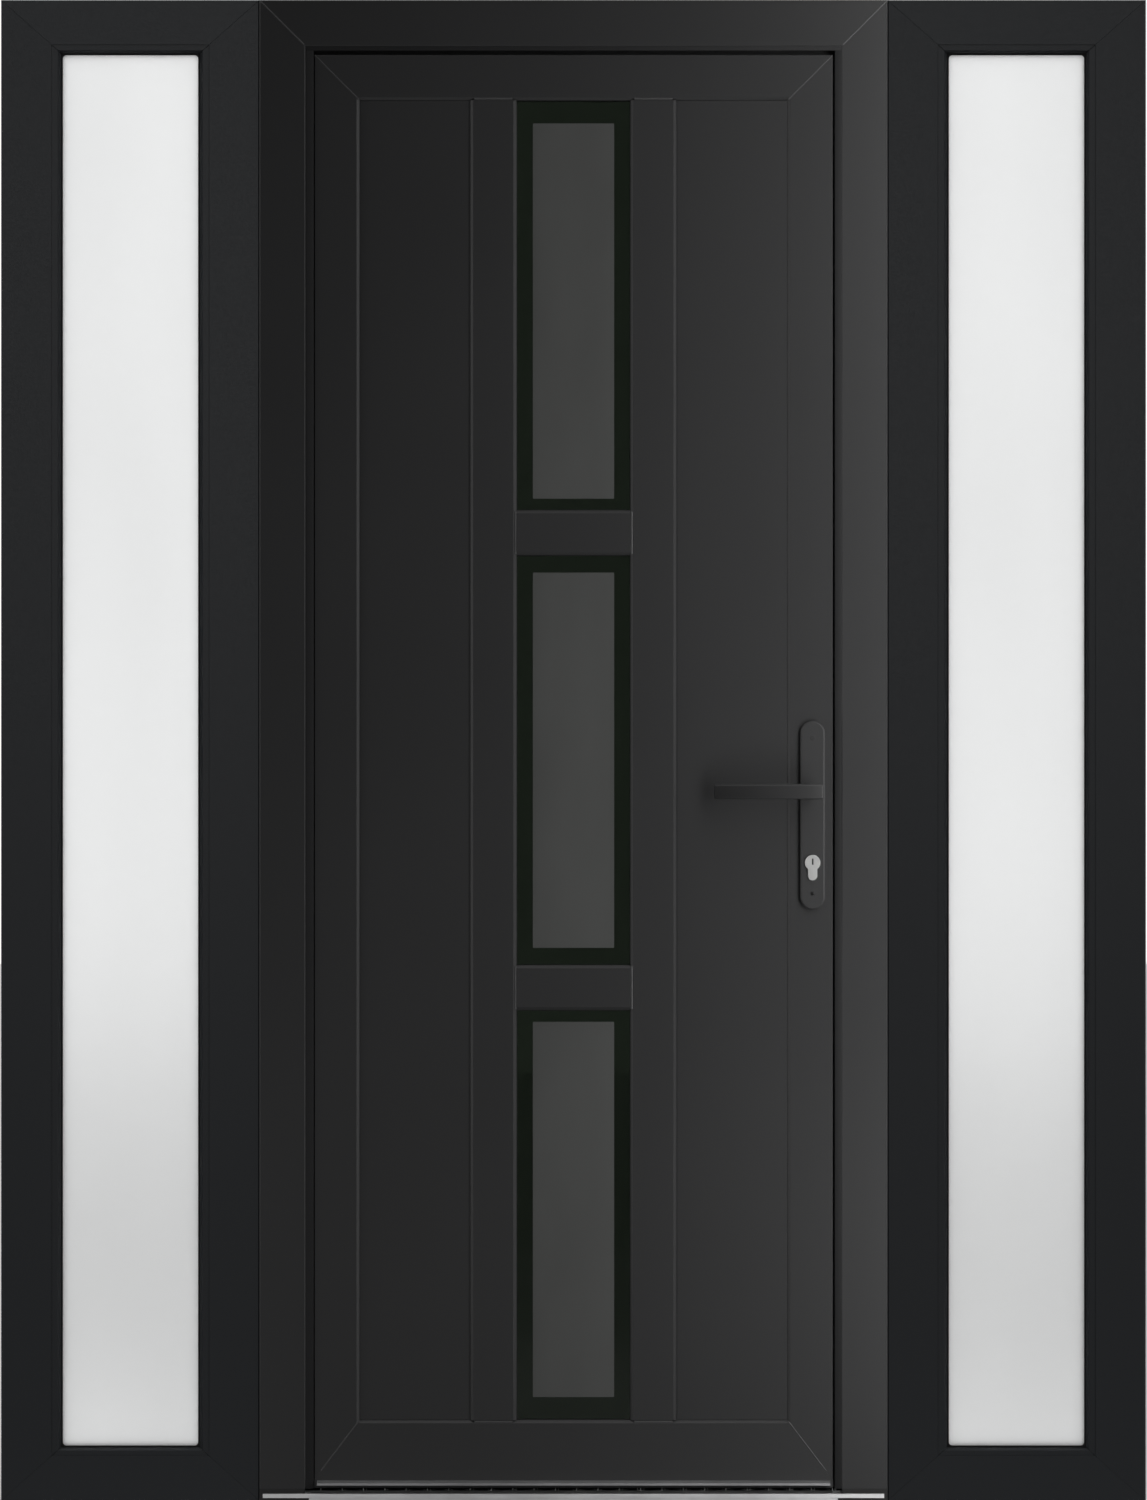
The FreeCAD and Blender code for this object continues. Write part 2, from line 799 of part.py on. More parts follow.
def beads(opening):
    """Four square-cut beads that close a rebate on the inside."""
    left, right, low, high = opening
    profile = [
        ("0", bead_front),
        ("rebate_cover", bead_front),
        ("rebate_cover", "frame_depth - bead_bevel"),
        ("rebate_cover - bead_bevel", "frame_depth"),
        ("0", "frame_depth"),
    ]
    across = f"({right} - ({left}) + 2 * rebate_cover)"
    upright = f"({high} - ({low}) - 2 * bead_gap)"
    return [
        place(bar("bead", profile, upright), f"{left} - rebate_cover", face_y,
              f"{low} + bead_gap"),
        place(bar("bead", profile, upright), f"{right} + rebate_cover", face_y,
              f"{high} - bead_gap", 180),
        place(bar("bead", profile, across), f"{left} - rebate_cover", face_y,
              f"{high} + rebate_cover", 90),
        place(bar("bead", profile, across), f"{right} + rebate_cover", face_y,
              f"{low} - rebate_cover", -90),
    ]


def inside_beads():
    together("lite_beads", [bead for opening in lites for bead in beads(opening)])
    together("panel_beads", [bead for opening in panels for bead in beads(opening)])


def drip_bar():
    body = new_body("drip_bar")
    sketch = new_sketch(body, "YZ_Plane")
    draw_outline(sketch, [
        ("leaf_setback - drip_reach", "0"),
        ("leaf_setback", "0"),
        ("leaf_setback", "drip_height"),
        ("leaf_setback - drip_reach", "drip_nose"),
    ])
    pad(body, sketch, f"2 * ({leaf_half} - drip_inset)", midplane=True)
    keep(place(body, y=face_y, z="drip_bottom"), "drip_bar")


def bottom_brush():
    half = f"({leaf_edge_x} - brush_end_room)"
    brush = block((f"-{half}", half),
                  (behind("(brush_place - brush_width / 2)"),
                   behind("(brush_place + brush_width / 2)")),
                  ("(leaf_bottom - brush_drop)", "leaf_bottom"))
    keep(brush, "bottom_brush")


# Hinges: each half has its own plate and knuckles about the pin's line

hinge_x = f"({half_door} - rebate_wall - leaf_gap / 2)"
hinge_y = behind("(frame_depth + hinge_stand_off)")
lowest_hinge = "(leaf_bottom + hinge_bottom_room)"
highest_hinge = f"({flange_top} - hinge_top_room)"
hinge_heights = (lowest_hinge, f"(({lowest_hinge} + {highest_hinge}) / 2)", highest_hinge)
hinge_half = "(1.5 * knuckle_height)"


def hinge_plate(body, side, knuckles):
    """A screwed plate with one arm and one bored knuckle for each pair of heights."""
    plate = new_sketch(body, "XY_Plane", f"(-{hinge_half})")
    near, far = "hinge_plate_room", "(hinge_plate_room + hinge_plate_width)"
    low = "(-hinge_stand_off)"
    draw_outline(plate, rectangle(f"{side} * {near}", f"{side} * {far}", low,
                                  f"({low} + hinge_plate_thickness)"))
    pad(body, plate, f"2 * {hinge_half}")
    for bottom, top in knuckles:
        arm = new_sketch(body, "XY_Plane", bottom)
        draw_outline(arm, rectangle(f"{side} * hinge_arm_room",
                                    f"{side} * ({near} + hinge_plate_thickness)",
                                    low, f"({low} + hinge_arm_rise)"))
        pad(body, arm, f"{top} - {bottom}")
        knuckle = new_sketch(body, "XY_Plane", bottom)
        draw_circle(knuckle, "0", "0", "hinge_radius")
        pad(body, knuckle, f"{top} - {bottom}")
    bore = new_sketch(body, "XY_Plane")
    draw_circle(bore, "0", "0", "(hinge_pin_radius + hinge_pin_play)")
    cut_through(body, bore)


def hinges():
    leaf_end = "(knuckle_height / 2 - knuckle_gap)"
    frame_end = "(knuckle_height / 2)"
    frame_halves, leaf_halves, pins = [], [], []
    for height in hinge_heights:
        frame_half = new_body("hinge_frame_half")
        hinge_plate(frame_half, "(-1)", [(f"(-{hinge_half})", f"(-{frame_end})"),
                                         (frame_end, hinge_half)])
        frame_halves.append(place(frame_half, f"-{hinge_x}", hinge_y, height))
        leaf_half_hinge = new_body("hinge_leaf_half")
        hinge_plate(leaf_half_hinge, "1", [(f"(-{leaf_end})", leaf_end)])
        leaf_halves.append(place(leaf_half_hinge, f"-{hinge_x}", hinge_y, height))
        pins.append(place(hinge_pin(), f"-{hinge_x}", hinge_y, height))
    together("hinge_frame_halves", frame_halves)
    together("hinge_leaf_halves", leaf_halves)
    together("hinge_pins", pins)


def hinge_pin():
    """A turned pin with a flat cap at each end."""
    body = new_body("hinge_pin")
    sketch = new_sketch(body, "XZ_Plane")
    end = f"({hinge_half} + hinge_cap_height)"
    draw_outline(sketch, [
        ("0", f"-{end}"),
        ("hinge_cap_radius", f"-{end}"),
        ("hinge_cap_radius", f"-{hinge_half}"),
        ("hinge_pin_radius", f"-{hinge_half}"),
        ("hinge_pin_radius", hinge_half),
        ("hinge_cap_radius", hinge_half),
        ("hinge_cap_radius", end),
        ("0", end),
    ])
    turned = body.newObject("PartDesign::Revolution", "turned")
    turned.Profile = sketch
    turned.ReferenceAxis = (sketch, ["V_Axis"])
    turned.Angle = 360
    return body


# Lock and handles

outside_plate_y = behind("(leaf_setback - plate_thickness)")
inside_plate_y = behind("frame_depth")


def handle_plate(name, y, shown_face):
    """A long plate with round ends, its shown face at 0 or at its thickness."""
    body = new_body(name)
    outline = new_sketch(body, "XZ_Plane")
    draw_slot(outline, handle_x, "(handle_height - plate_below)",
              "(handle_height + plate_above)", "(plate_width / 2)")
    plate = pad(body, outline, "plate_thickness", reverse=True)
    doc.recompute()
    level = number_of(shown_face)
    bevel_edges(body, plate, "plate_edge",
                lambda edge: abs(edge.BoundBox.YMin - level) + abs(edge.BoundBox.YMax - level)
                < CLOSE)
    holes = new_sketch(body, "XZ_Plane")
    draw_circle(holes, handle_x, "handle_height", "(neck_radius + neck_play)")
    draw_circle(holes, handle_x, cylinder_z, "(cylinder_radius + cylinder_room)")
    cut_through(body, holes)
    tail = new_sketch(body, "XZ_Plane")
    radius = "(cylinder_tail_width / 2 + cylinder_room)"
    draw_slot(tail, handle_x, f"({cylinder_z} - cylinder_tail_drop - {radius})",
              cylinder_z, radius)
    cut_through(body, tail)
    keep(place(body, y=y), name)


def lever(name, y, turn):
    """A flat bar on a round neck, bowed back towards the leaf to its free end."""
    body = new_body(name)
    route = new_sketch(body, "XY_Plane")
    draw_lever_route(route)
    section = new_sketch(body, "YZ_Plane", "lever_heel")
    draw_outline(section, bevelled_rectangle(
        "(-lever_stand_off - lever_thickness / 2)", "(-lever_stand_off + lever_thickness / 2)",
        "(-lever_height / 2)", "(lever_height / 2)", "lever_edge"))
    arm = body.newObject("PartDesign::AdditivePipe", "arm")
    arm.Profile = section
    arm.Spine = route
    neck = new_sketch(body, "XZ_Plane", "neck_end")
    draw_circle(neck, "0", "0", "neck_radius")
    pad(body, neck, "lever_stand_off - neck_end")
    socket = new_sketch(body, "XZ_Plane")
    half = "(spindle_side / 2)"
    draw_outline(socket, rectangle(f"-{half}", half, f"-{half}", half))
    cut_to(body, socket, "spindle_socket", reverse=True)
    keep(place(body, handle_x, y, "handle_height", turn, X_AXIS), name)


def draw_lever_route(sketch):
    """Straight past the neck, and then in one long bow back towards the leaf."""
    along = "(-lever_stand_off)"
    bow_x = "(-lever_straight)"
    bow_y = f"({along} + lever_bow)"
    tip_x = "(lever_thickness / 4 - lever_reach)"
    centre = FreeCAD.Vector(number_of(bow_x), number_of(bow_y), 0)
    radius = number_of("lever_bow")
    heel = FreeCAD.Vector(number_of("lever_heel"), number_of(along), 0)
    bow_start = FreeCAD.Vector(number_of(bow_x), number_of(along), 0)
    turn = math.asin((number_of(bow_x) - number_of(tip_x)) / radius)
    arm = sketch.addGeometry(Part.LineSegment(heel, bow_start), False)
    circle = Part.Circle(centre, FreeCAD.Vector(0, 0, 1), radius)
    bow = sketch.addGeometry(
        Part.ArcOfCircle(circle, 1.5 * math.pi - turn, 1.5 * math.pi), False)
    sketch.addConstraint(Sketcher.Constraint("Coincident", arm, 2, bow, 2))
    hold_point(sketch, arm, 1, "lever_heel", along)
    hold_point(sketch, arm, 2, bow_x, along)
    hold_point(sketch, bow, 3, bow_x, bow_y)
    bind(sketch, "DistanceX", bow, 1, -1, 1, size=f"(-{tip_x})")


def spindle():
    half = "(spindle_side / 2)"
    bar_piece = block((f"{handle_x} - {half}", f"{handle_x} + {half}"),
                      (behind("(leaf_setback - spindle_socket)"),
                       behind("(frame_depth + spindle_socket)")),
                      (f"handle_height - {half}", f"handle_height + {half}"))
    keep(bar_piece, "spindle")


def lock_cylinder():
    """A keyed cylinder with a round head and a narrow tail, plus its turning plug."""
    near = behind("(leaf_setback - plate_thickness - cylinder_proud)")
    far = behind("(frame_depth + plate_thickness + cylinder_proud)")
    half = "(cylinder_tail_width / 2)"
    head = rod("cylinder_radius", handle_x, cylinder_z, near, far)
    tail_z = f"({cylinder_z} - cylinder_tail_drop)"
    tail_end = rod(half, handle_x, tail_z, near, far)
    tail = block((f"{handle_x} - {half}", f"{handle_x} + {half}"), (near, far),
                 (tail_z, cylinder_z))
    bore_end = f"{near} + plug_length + plug_end_room"
    bore = rod("(plug_radius + plug_play)", handle_x, cylinder_z, near, bore_end)
    keep(less(fused([head, tail, tail_end]), bore), "lock_cylinder")
    plug = rod("plug_radius", handle_x, cylinder_z, near, f"{near} + plug_length")
    keyway = block((f"{handle_x} - keyway_width / 2", f"{handle_x} + keyway_width / 2"),
                   (near, f"{near} + keyway_depth"),
                   (f"({cylinder_z} + keyway_rise - keyway_height / 2)",
                    f"({cylinder_z} + keyway_rise + keyway_height / 2)"))
    keep(less(plug, keyway), "cylinder_plug")


def bolt_box(height, tall, x, room):
    return block(x, (behind(f"({bolt_line} - bolt_width / 2 - {room})"),
                     behind(f"({bolt_line} + bolt_width / 2 + {room})")),
                 (f"({height} - {tall} / 2 - {room})", f"({height} + {tall} / 2 + {room})"))


def lock_edge():
    """The faceplate in the leaf's edge, its bolts drawn back, and the strike plate."""
    across = (behind(f"({bolt_line} - faceplate_width / 2)"),
              behind(f"({bolt_line} + faceplate_width / 2)"))
    plate_x = (f"({leaf_edge_x} - faceplate_thickness)", leaf_edge_x)
    plate = block(plate_x, across, (faceplate_low, faceplate_high))
    strike_x = (f"({half_door} - rebate_wall - strike_thickness)",
                f"({half_door} - rebate_wall)")
    strike = block(strike_x, across, (f"({faceplate_low} - strike_margin)",
                                      f"({faceplate_high} + strike_margin)"))
    bolts = []
    for height, tall in bolts_at:
        plate = less(plate, bolt_box(height, tall, plate_x, "bolt_room"))
        strike = less(strike, bolt_box(height, tall, strike_x, "strike_room"))
        bolts.append(bolt_box(height, tall, (bolt_start, f"({leaf_edge_x} + bolt_proud)"),
                              "0"))
    keep(plate, "lock_faceplate")
    keep(strike, "strike_plate")
    together("lock_bolts", bolts)


# Sidelights

side_face_y = behind("sidelight_setback")
side_depth = "(frame_depth - sidelight_setback)"
side_glass_front = "(side_bead_setback + side_bead_thickness + seal_thickness)"
side_rebate = f"({side_glass_front} + {unit_thickness} + seal_thickness)"
side_ratio = "(side_rail_face / side_stile_face)"
side_stile_lip = "(side_stile_face + side_bead_width)"
side_rail_lip = f"({side_stile_lip} * {side_ratio})"


def side_profile(face, lip, grooved=False):
    outer_edge = [("0", side_depth), ("0", "frame_edge")]
    if grooved:
        near = "(frame_depth / 2 - sidelight_setback - groove_width / 2)"
        far = f"({near} + groove_width)"
        outer_edge[1:1] = [("0", far), ("groove_depth", far), ("groove_depth", near),
                           ("0", near)]
    return [
        ("frame_edge", "0"),
        (face, "0"),
        (face, side_rebate),
        (lip, side_rebate),
        (lip, side_depth),
    ] + outer_edge


def side_bead_profile(face, lip, slope):
    front = "side_bead_setback"
    back = "(side_bead_setback + side_bead_thickness)"
    return [
        (face, front),
        (f"{lip} - {slope}", front),
        (lip, f"{front} + side_bead_slope"),
        (lip, back),
        (face, back),
    ]


def side_bars(name, left, right, stile_profiles, rail_profile, gap="0"):
    """The left stile, right stile, head and sill of a mitred rectangle."""
    height, width = "frame_height", "sidelight_width"
    rail_slope = f"(1 / {side_ratio})"
    stile_cuts = [start_mitre(side_ratio, gap), end_mitre(height, side_ratio, gap)]
    rail_cuts = [start_mitre(rail_slope, gap), end_mitre(width, rail_slope, gap)]
    left_stile = bar(name, stile_profiles[0], height, stile_cuts)
    right_stile = bar(name, stile_profiles[1], height, stile_cuts)
    head = bar(name, rail_profile, width, rail_cuts)
    sill = bar(name, rail_profile, width, rail_cuts)
    return [
        place(left_stile, left, side_face_y, "0"),
        place(right_stile, right, side_face_y, "frame_height", 180),
        place(head, left, side_face_y, "frame_height", 90),
        place(sill, right, side_face_y, "0", -90),
    ]


def bore_fixings(stile):
    """Clearance holes for the screws that hold the outer stile to the wall."""
    holes = new_sketch(stile, "YZ_Plane")
    for spacing in ("outer_fixing_spacing", "inner_fixing_spacing"):
        for sign in ("-", "+"):
            draw_circle(holes, "(frame_depth / 2 - sidelight_setback)",
                        f"(frame_height / 2 {sign} {spacing} / 2)", "fixing_radius")
    cut_through(stile, holes)


def sidelight(side):
    on_left = side == "left"
    left = f"(-{half_width})" if on_left else half_door
    right = f"(-{half_door})" if on_left else half_width
    plain = side_profile("side_stile_face", side_stile_lip)
    grooved = side_profile("side_stile_face", side_stile_lip, grooved=True)
    rail = side_profile("side_rail_face", side_rail_lip)
    stiles = [plain, grooved] if on_left else [grooved, plain]
    bars = side_bars(f"{side}_light_bar", left, right, stiles, rail)
    names = ["outer_stile", "inner_stile"] if on_left else ["inner_stile", "outer_stile"]
    for piece, name in zip(bars, names + ["head", "sill"]):
        if name == "outer_stile":
            bore_fixings(piece)
        keep(piece, f"{side}_light_{name}")
    bead = side_bead_profile("side_stile_face", side_stile_lip, "side_bead_slope")
    rail_bead = side_bead_profile("side_rail_face", side_rail_lip,
                                  f"side_bead_slope * {side_ratio}")
    together(f"{side}_light_beads",
             side_bars(f"{side}_light_bead", left, right, [bead, bead], rail_bead,
                       "bead_gap"))
    opening = (f"({left} + {side_stile_lip})", f"({right} - {side_stile_lip})",
               side_rail_lip, f"(frame_height - {side_rail_lip})")

    def y(back):
        return f"({side_face_y} + {back})"

    together(f"{side}_light_glass", panes(opening, "side_glass_cover", y(side_glass_front)))
    bead_back = "(side_bead_setback + side_bead_thickness)"
    unit_back = f"({side_glass_front} + {unit_thickness})"
    width = "(side_glass_cover + side_gasket_sight)"
    outside_gasket = ring("outside_gasket", opening, "side_gasket_sight", width, y(bead_back),
                          "seal_thickness")
    inside_gasket = ring("inside_gasket", opening, "side_gasket_sight", width, y(unit_back),
                         "seal_thickness")
    for gasket in (outside_gasket, inside_gasket):
        round_inner_corners(gasket, "side_gasket_corner")
    together(f"{side}_light_seals", [
        outside_gasket,
        ring("spacer", opening, "(spacer_width - side_glass_cover)", "spacer_width",
             y(f"({side_glass_front} + pane_thickness)"), "cavity"),
        inside_gasket,
    ])


door_frame()
frame_seal()
threshold()
threshold_end_caps()
coupling_tongues()
sidelight("left")
sidelight("right")
leaf_stiles()
leaf_rails()
dividers()
side_panels()
lite_glass()
leaf_seals()
inside_beads()
drip_bar()
bottom_brush()
hinges()
handle_plate("outside_plate", outside_plate_y, "0")
handle_plate("inside_plate", inside_plate_y, "plate_thickness")
lever("outside_lever", behind("leaf_setback"), 0)
lever("inside_lever", inside_plate_y, 180)
spindle()
lock_cylinder()
lock_edge()

doc.recompute()

faults = [f"{thing.Label}: {thing.State}" for thing in doc.Objects
          if {"Invalid", "Error"} & set(thing.State)]
for thing in sub_parts:
    if thing.Shape.isNull() or not thing.Shape.isValid() or not thing.Shape.Solids:
        faults.append(f"{thing.Label}: its shape isn't a valid solid")
if faults:
    raise RuntimeError("; ".join(faults))

os.makedirs("parts", exist_ok=True)
for thing in sub_parts:
    thing.Shape.exportStep(f"parts/{thing.Label}.step")
print(len(sub_parts), "sub-parts written")
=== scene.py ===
import json
import math
import random

import bmesh
import bpy
from mathutils import Matrix, Vector

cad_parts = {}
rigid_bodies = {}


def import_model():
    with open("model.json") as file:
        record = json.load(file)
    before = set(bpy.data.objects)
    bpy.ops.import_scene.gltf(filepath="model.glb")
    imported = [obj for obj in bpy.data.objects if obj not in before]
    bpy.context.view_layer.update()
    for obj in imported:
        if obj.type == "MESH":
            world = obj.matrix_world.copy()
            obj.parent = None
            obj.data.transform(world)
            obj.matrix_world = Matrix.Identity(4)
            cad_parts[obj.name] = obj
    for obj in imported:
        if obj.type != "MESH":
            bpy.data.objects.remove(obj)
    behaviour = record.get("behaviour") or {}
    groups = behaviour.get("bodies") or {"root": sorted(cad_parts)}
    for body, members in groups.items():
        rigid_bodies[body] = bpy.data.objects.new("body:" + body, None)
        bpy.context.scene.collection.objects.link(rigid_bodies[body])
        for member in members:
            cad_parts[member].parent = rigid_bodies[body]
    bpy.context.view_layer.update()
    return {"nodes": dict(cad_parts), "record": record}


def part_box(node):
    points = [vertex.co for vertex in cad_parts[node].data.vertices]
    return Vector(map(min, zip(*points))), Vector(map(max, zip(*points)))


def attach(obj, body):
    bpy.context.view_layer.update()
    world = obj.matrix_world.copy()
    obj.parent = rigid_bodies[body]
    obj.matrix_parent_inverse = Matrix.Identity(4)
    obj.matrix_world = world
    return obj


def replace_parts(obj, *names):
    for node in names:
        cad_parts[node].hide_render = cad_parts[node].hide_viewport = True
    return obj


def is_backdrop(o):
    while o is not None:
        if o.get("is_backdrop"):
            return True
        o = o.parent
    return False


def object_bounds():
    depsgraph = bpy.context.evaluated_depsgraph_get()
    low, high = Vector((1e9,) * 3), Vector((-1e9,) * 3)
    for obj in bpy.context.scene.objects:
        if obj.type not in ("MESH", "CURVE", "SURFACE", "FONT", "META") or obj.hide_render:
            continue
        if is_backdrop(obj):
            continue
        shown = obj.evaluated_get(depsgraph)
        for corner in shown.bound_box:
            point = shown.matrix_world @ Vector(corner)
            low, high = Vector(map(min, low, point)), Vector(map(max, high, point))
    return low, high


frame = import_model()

scene = bpy.context.scene
mm = 0.001
thresholdTop = 10.6 * mm        # its flat behind the weather rib


def boxOf(node):
    low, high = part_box(node)
    return low, high, (low + high) / 2


# Shader helpers

def startMaterial(name):
    material = bpy.data.materials.new(name)
    material.use_nodes = True
    tree = material.node_tree
    return material, tree, tree.nodes["Principled BSDF"]


def setSockets(tree, node, sockets):
    # a socket gets either a link or a plain value
    for key, value in sockets.items():
        if isinstance(value, bpy.types.NodeSocket):
            tree.links.new(value, node.inputs[key])
        else:
            node.inputs[key].default_value = value


def addNode(tree, kind, sockets=None, **settings):
    node = tree.nodes.new("ShaderNode" + kind)
    for key, value in settings.items():
        setattr(node, key, value)
    setSockets(tree, node, sockets or {})
    return node


def objectPoints(tree, scale=(1, 1, 1)):
    coords = addNode(tree, "TexCoord")
    mapping = addNode(tree, "Mapping", {"Vector": coords.outputs["Object"], "Scale": scale})
    return mapping.outputs["Vector"]


def noise(tree, points, scale, detail=2.0, roughness=0.5):
    node = addNode(tree, "TexNoise", {"Vector": points, "Scale": scale, "Detail": detail,
                                      "Roughness": roughness})
    return node.outputs["Fac"]


def spread(tree, value, low, high, fromLow=0.3, fromHigh=0.7):
    node = addNode(tree, "MapRange", {"Value": value, "From Min": fromLow, "From Max": fromHigh,
                                      "To Min": low, "To Max": high})
    return node.outputs["Result"]


def tint(tree, value, dark, light):
    node = addNode(tree, "Mix", {"Factor": value, "A": (*dark, 1), "B": (*light, 1)},
                   data_type="RGBA")
    return node.outputs["Result"]


def shades(colour, step):
    return [c * (1 - step) for c in colour], [c * (1 + step) for c in colour]


def bumped(tree, height, strength, distance, edge=0.0):
    sockets = {"Height": height, "Strength": strength, "Distance": distance}
    if edge:
        rounded = addNode(tree, "Bevel", {"Radius": edge}, samples=4)
        sockets["Normal"] = rounded.outputs["Normal"]
    return addNode(tree, "Bump", sockets).outputs["Normal"]


# Materials

def powderCoat(name, colour, roughness, gloss, edge=0.7 * mm):
    material, tree, shader = startMaterial(name)
    points = objectPoints(tree)
    # the fine orange peel of baked powder, and a slow drift from bar to bar
    grain = noise(tree, points, 620, 3, 0.6)
    cloud = noise(tree, points, 2.3, 2)
    dark, light = shades(colour, 0.05)
    setSockets(tree, shader, {
        "Base Color": tint(tree, spread(tree, cloud, 0, 1), dark, light),
        "Roughness": spread(tree, grain, roughness - 0.05, roughness + 0.06),
        "Specular IOR Level": gloss,
        "Normal": bumped(tree, grain, 0.16, 0.15 * mm, edge),
    })
    return material


def brushedMetal(name, colour, roughness, along, edge=0.4 * mm):
    # along stretches the brushing, one number for each axis
    material, tree, shader = startMaterial(name)
    lines = noise(tree, objectPoints(tree, along), 900, 4, 0.65)
    cloud = noise(tree, objectPoints(tree), 9, 3)
    dark, light = shades(colour, 0.10)
    setSockets(tree, shader, {
        "Base Color": tint(tree, spread(tree, cloud, 0, 1), dark, light),
        "Metallic": 1.0,
        "Roughness": spread(tree, lines, roughness - 0.07, roughness + 0.10),
        "Normal": bumped(tree, lines, 0.10, 0.05 * mm, edge),
    })
    return material


def softPolymer(name, colour, roughness, grainScale, strength, gloss=0.3):
    material, tree, shader = startMaterial(name)
    grain = noise(tree, objectPoints(tree), grainScale, 4, 0.6)
    dark, light = shades(colour, 0.18)
    setSockets(tree, shader, {
        "Base Color": tint(tree, spread(tree, grain, 0, 1), dark, light),
        "Roughness": spread(tree, grain, roughness - 0.06, roughness + 0.08),
        "Specular IOR Level": gloss,
        "Normal": bumped(tree, grain, strength, 0.2 * mm, 0.5 * mm),
    })
    return material


def clearGlass(name, colour, roughness):
    material, tree, shader = startMaterial(name)
    ripple = noise(tree, objectPoints(tree), 3.1, 1)
    setSockets(tree, shader, {
        "Base Color": (*colour, 1),
        "Roughness": roughness,
        "Transmission Weight": 1.0,
        "IOR": 1.5,
        "Normal": bumped(tree, ripple, 0.02, 1 * mm),
    })
    return material


def milkyGlass(name, colour, roughness):
    material, tree, shader = startMaterial(name)
    cloud = noise(tree, objectPoints(tree, (1.6, 1, 0.5)), 2.2, 2)
    frost = noise(tree, objectPoints(tree), 1400, 2)
    dark, light = shades(colour, 0.022)
    setSockets(tree, shader, {
        "Base Color": tint(tree, spread(tree, cloud, 0, 1), dark, light),
        "Roughness": roughness,
        "Transmission Weight": 1.0,
        "IOR": 1.5,
        "Normal": bumped(tree, frost, 0.05, 0.02 * mm),
    })
    return material


def frostFilm(name, colour):
    material, tree, shader = startMaterial(name)
    frost = noise(tree, objectPoints(tree), 1500, 3, 0.7)
    wash = noise(tree, objectPoints(tree, (2.2, 1, 0.8)), 5, 3)
    dark, light = shades(colour, 0.10)
    setSockets(tree, shader, {
        "Base Color": tint(tree, spread(tree, wash, 0, 1), dark, light),
        "Roughness": spread(tree, frost, 0.42, 0.55),
        "Specular IOR Level": 0.5,
        "Normal": bumped(tree, frost, 0.12, 0.03 * mm),
    })
    return material


finishes = {
    "doorColour": (0.028, 0.028, 0.0285),
    "sidelightColour": (0.0107, 0.0137, 0.0178),
    # painted highlight: the sidelights' heads and sills are coloured lighter than their stiles
    "sidelightBarHighlightColour": (0.0140, 0.0174, 0.0218),
    "handleColour": (0.031, 0.031, 0.0315),
    "rubberColour": (0.006, 0.006, 0.0065),
    # painted shade: the lip strips' dark colour stands in for the shaded lip and gap beside the
    # leaf
    "lipShadeColour": (0.0155, 0.0155, 0.016),
    "foamColour": (0.008, 0.008, 0.008),
    # painted shade: the wards' near-black colour stands in for the shade inside the keyways
    "keywayShadeColour": (0.030, 0.030, 0.030),
    "plasticColour": (0.010, 0.010, 0.010),
    "pileColour": (0.010, 0.010, 0.010),
    "thresholdColour": (0.76, 0.76, 0.765),
    "dripColour": (0.33, 0.33, 0.335),
    "cylinderColour": (0.80, 0.80, 0.79),
    "steelColour": (0.50, 0.50, 0.50),
    "milkColour": (0.956, 0.959, 0.959),
    "liteColour": (0.075, 0.090, 0.072),
    "frostColour": (0.056, 0.057, 0.055),
    # painted highlight: the mitre and joint beads are coloured lighter than the coat
    "seamHighlightColour": (0.052, 0.052, 0.053),
    "leafSeamHighlightColour": (0.040, 0.040, 0.041),
    "screwColour": (0.028, 0.028, 0.028),
}
alongX, alongZ = (0.03, 1, 1), (1, 1, 0.03)
bySlot = {
    "door_frame_coating": powderCoat("doorFrameCoat", finishes["doorColour"], 0.38, 0.32),
    "leaf_coating": powderCoat("leafCoat", finishes["doorColour"], 0.38, 0.32),
    "panel_coating": powderCoat("panelCoat", finishes["doorColour"], 0.38, 0.32),
    "sidelight_coating": powderCoat("sidelightCoat", finishes["sidelightColour"], 0.42, 0.38),
    "milky_glass": milkyGlass("milkyGlass", finishes["milkColour"], 0.42),
    "lite_glass": clearGlass("darkGlass", finishes["liteColour"], 0.02),
    "seal_rubber": softPolymer("sealRubber", finishes["rubberColour"], 0.62, 900, 0.2),
    "threshold_metal": brushedMetal("thresholdMetal", finishes["thresholdColour"], 0.42, alongX),
    "cap_plastic": softPolymer("capPlastic", finishes["plasticColour"], 0.55, 1100, 0.15),
    "drip_metal": brushedMetal("dripMetal", finishes["dripColour"], 0.45, alongX),
    "brush_pile": softPolymer("brushPile", finishes["pileColour"], 0.80, 700, 0.3),
    "hinge_coating": powderCoat("hingeCoat", finishes["doorColour"], 0.46, 0.22),
    "pin_steel": brushedMetal("pinSteel", finishes["steelColour"], 0.34, alongZ),
    "handle_coating": powderCoat("handleCoat", finishes["handleColour"], 0.40, 0.30),
    "cylinder_nickel": brushedMetal("cylinderNickel", finishes["cylinderColour"], 0.36, (1, 1, 1)),
    "lock_steel": brushedMetal("lockSteel", finishes["steelColour"], 0.32, alongZ),
}
# the sidelights' level bars get a lighter copy of their coat, a painted highlight for the little
# more light they catch than their stiles
levelBarsHighlight = powderCoat("sidelightBarHighlightCoat", finishes["sidelightBarHighlightColour"], 0.42, 0.38)
for row in frame["record"]["subparts"]:
    isLevelBar = row["node"].endswith(("light_head", "light_sill"))
    for holder in frame["nodes"][row["node"]].material_slots:
        holder.material = levelBarsHighlight if isLevelBar else bySlot[row["material_slot"]]
print("materials on", len(frame["nodes"]), "nodes")


# Piece helpers

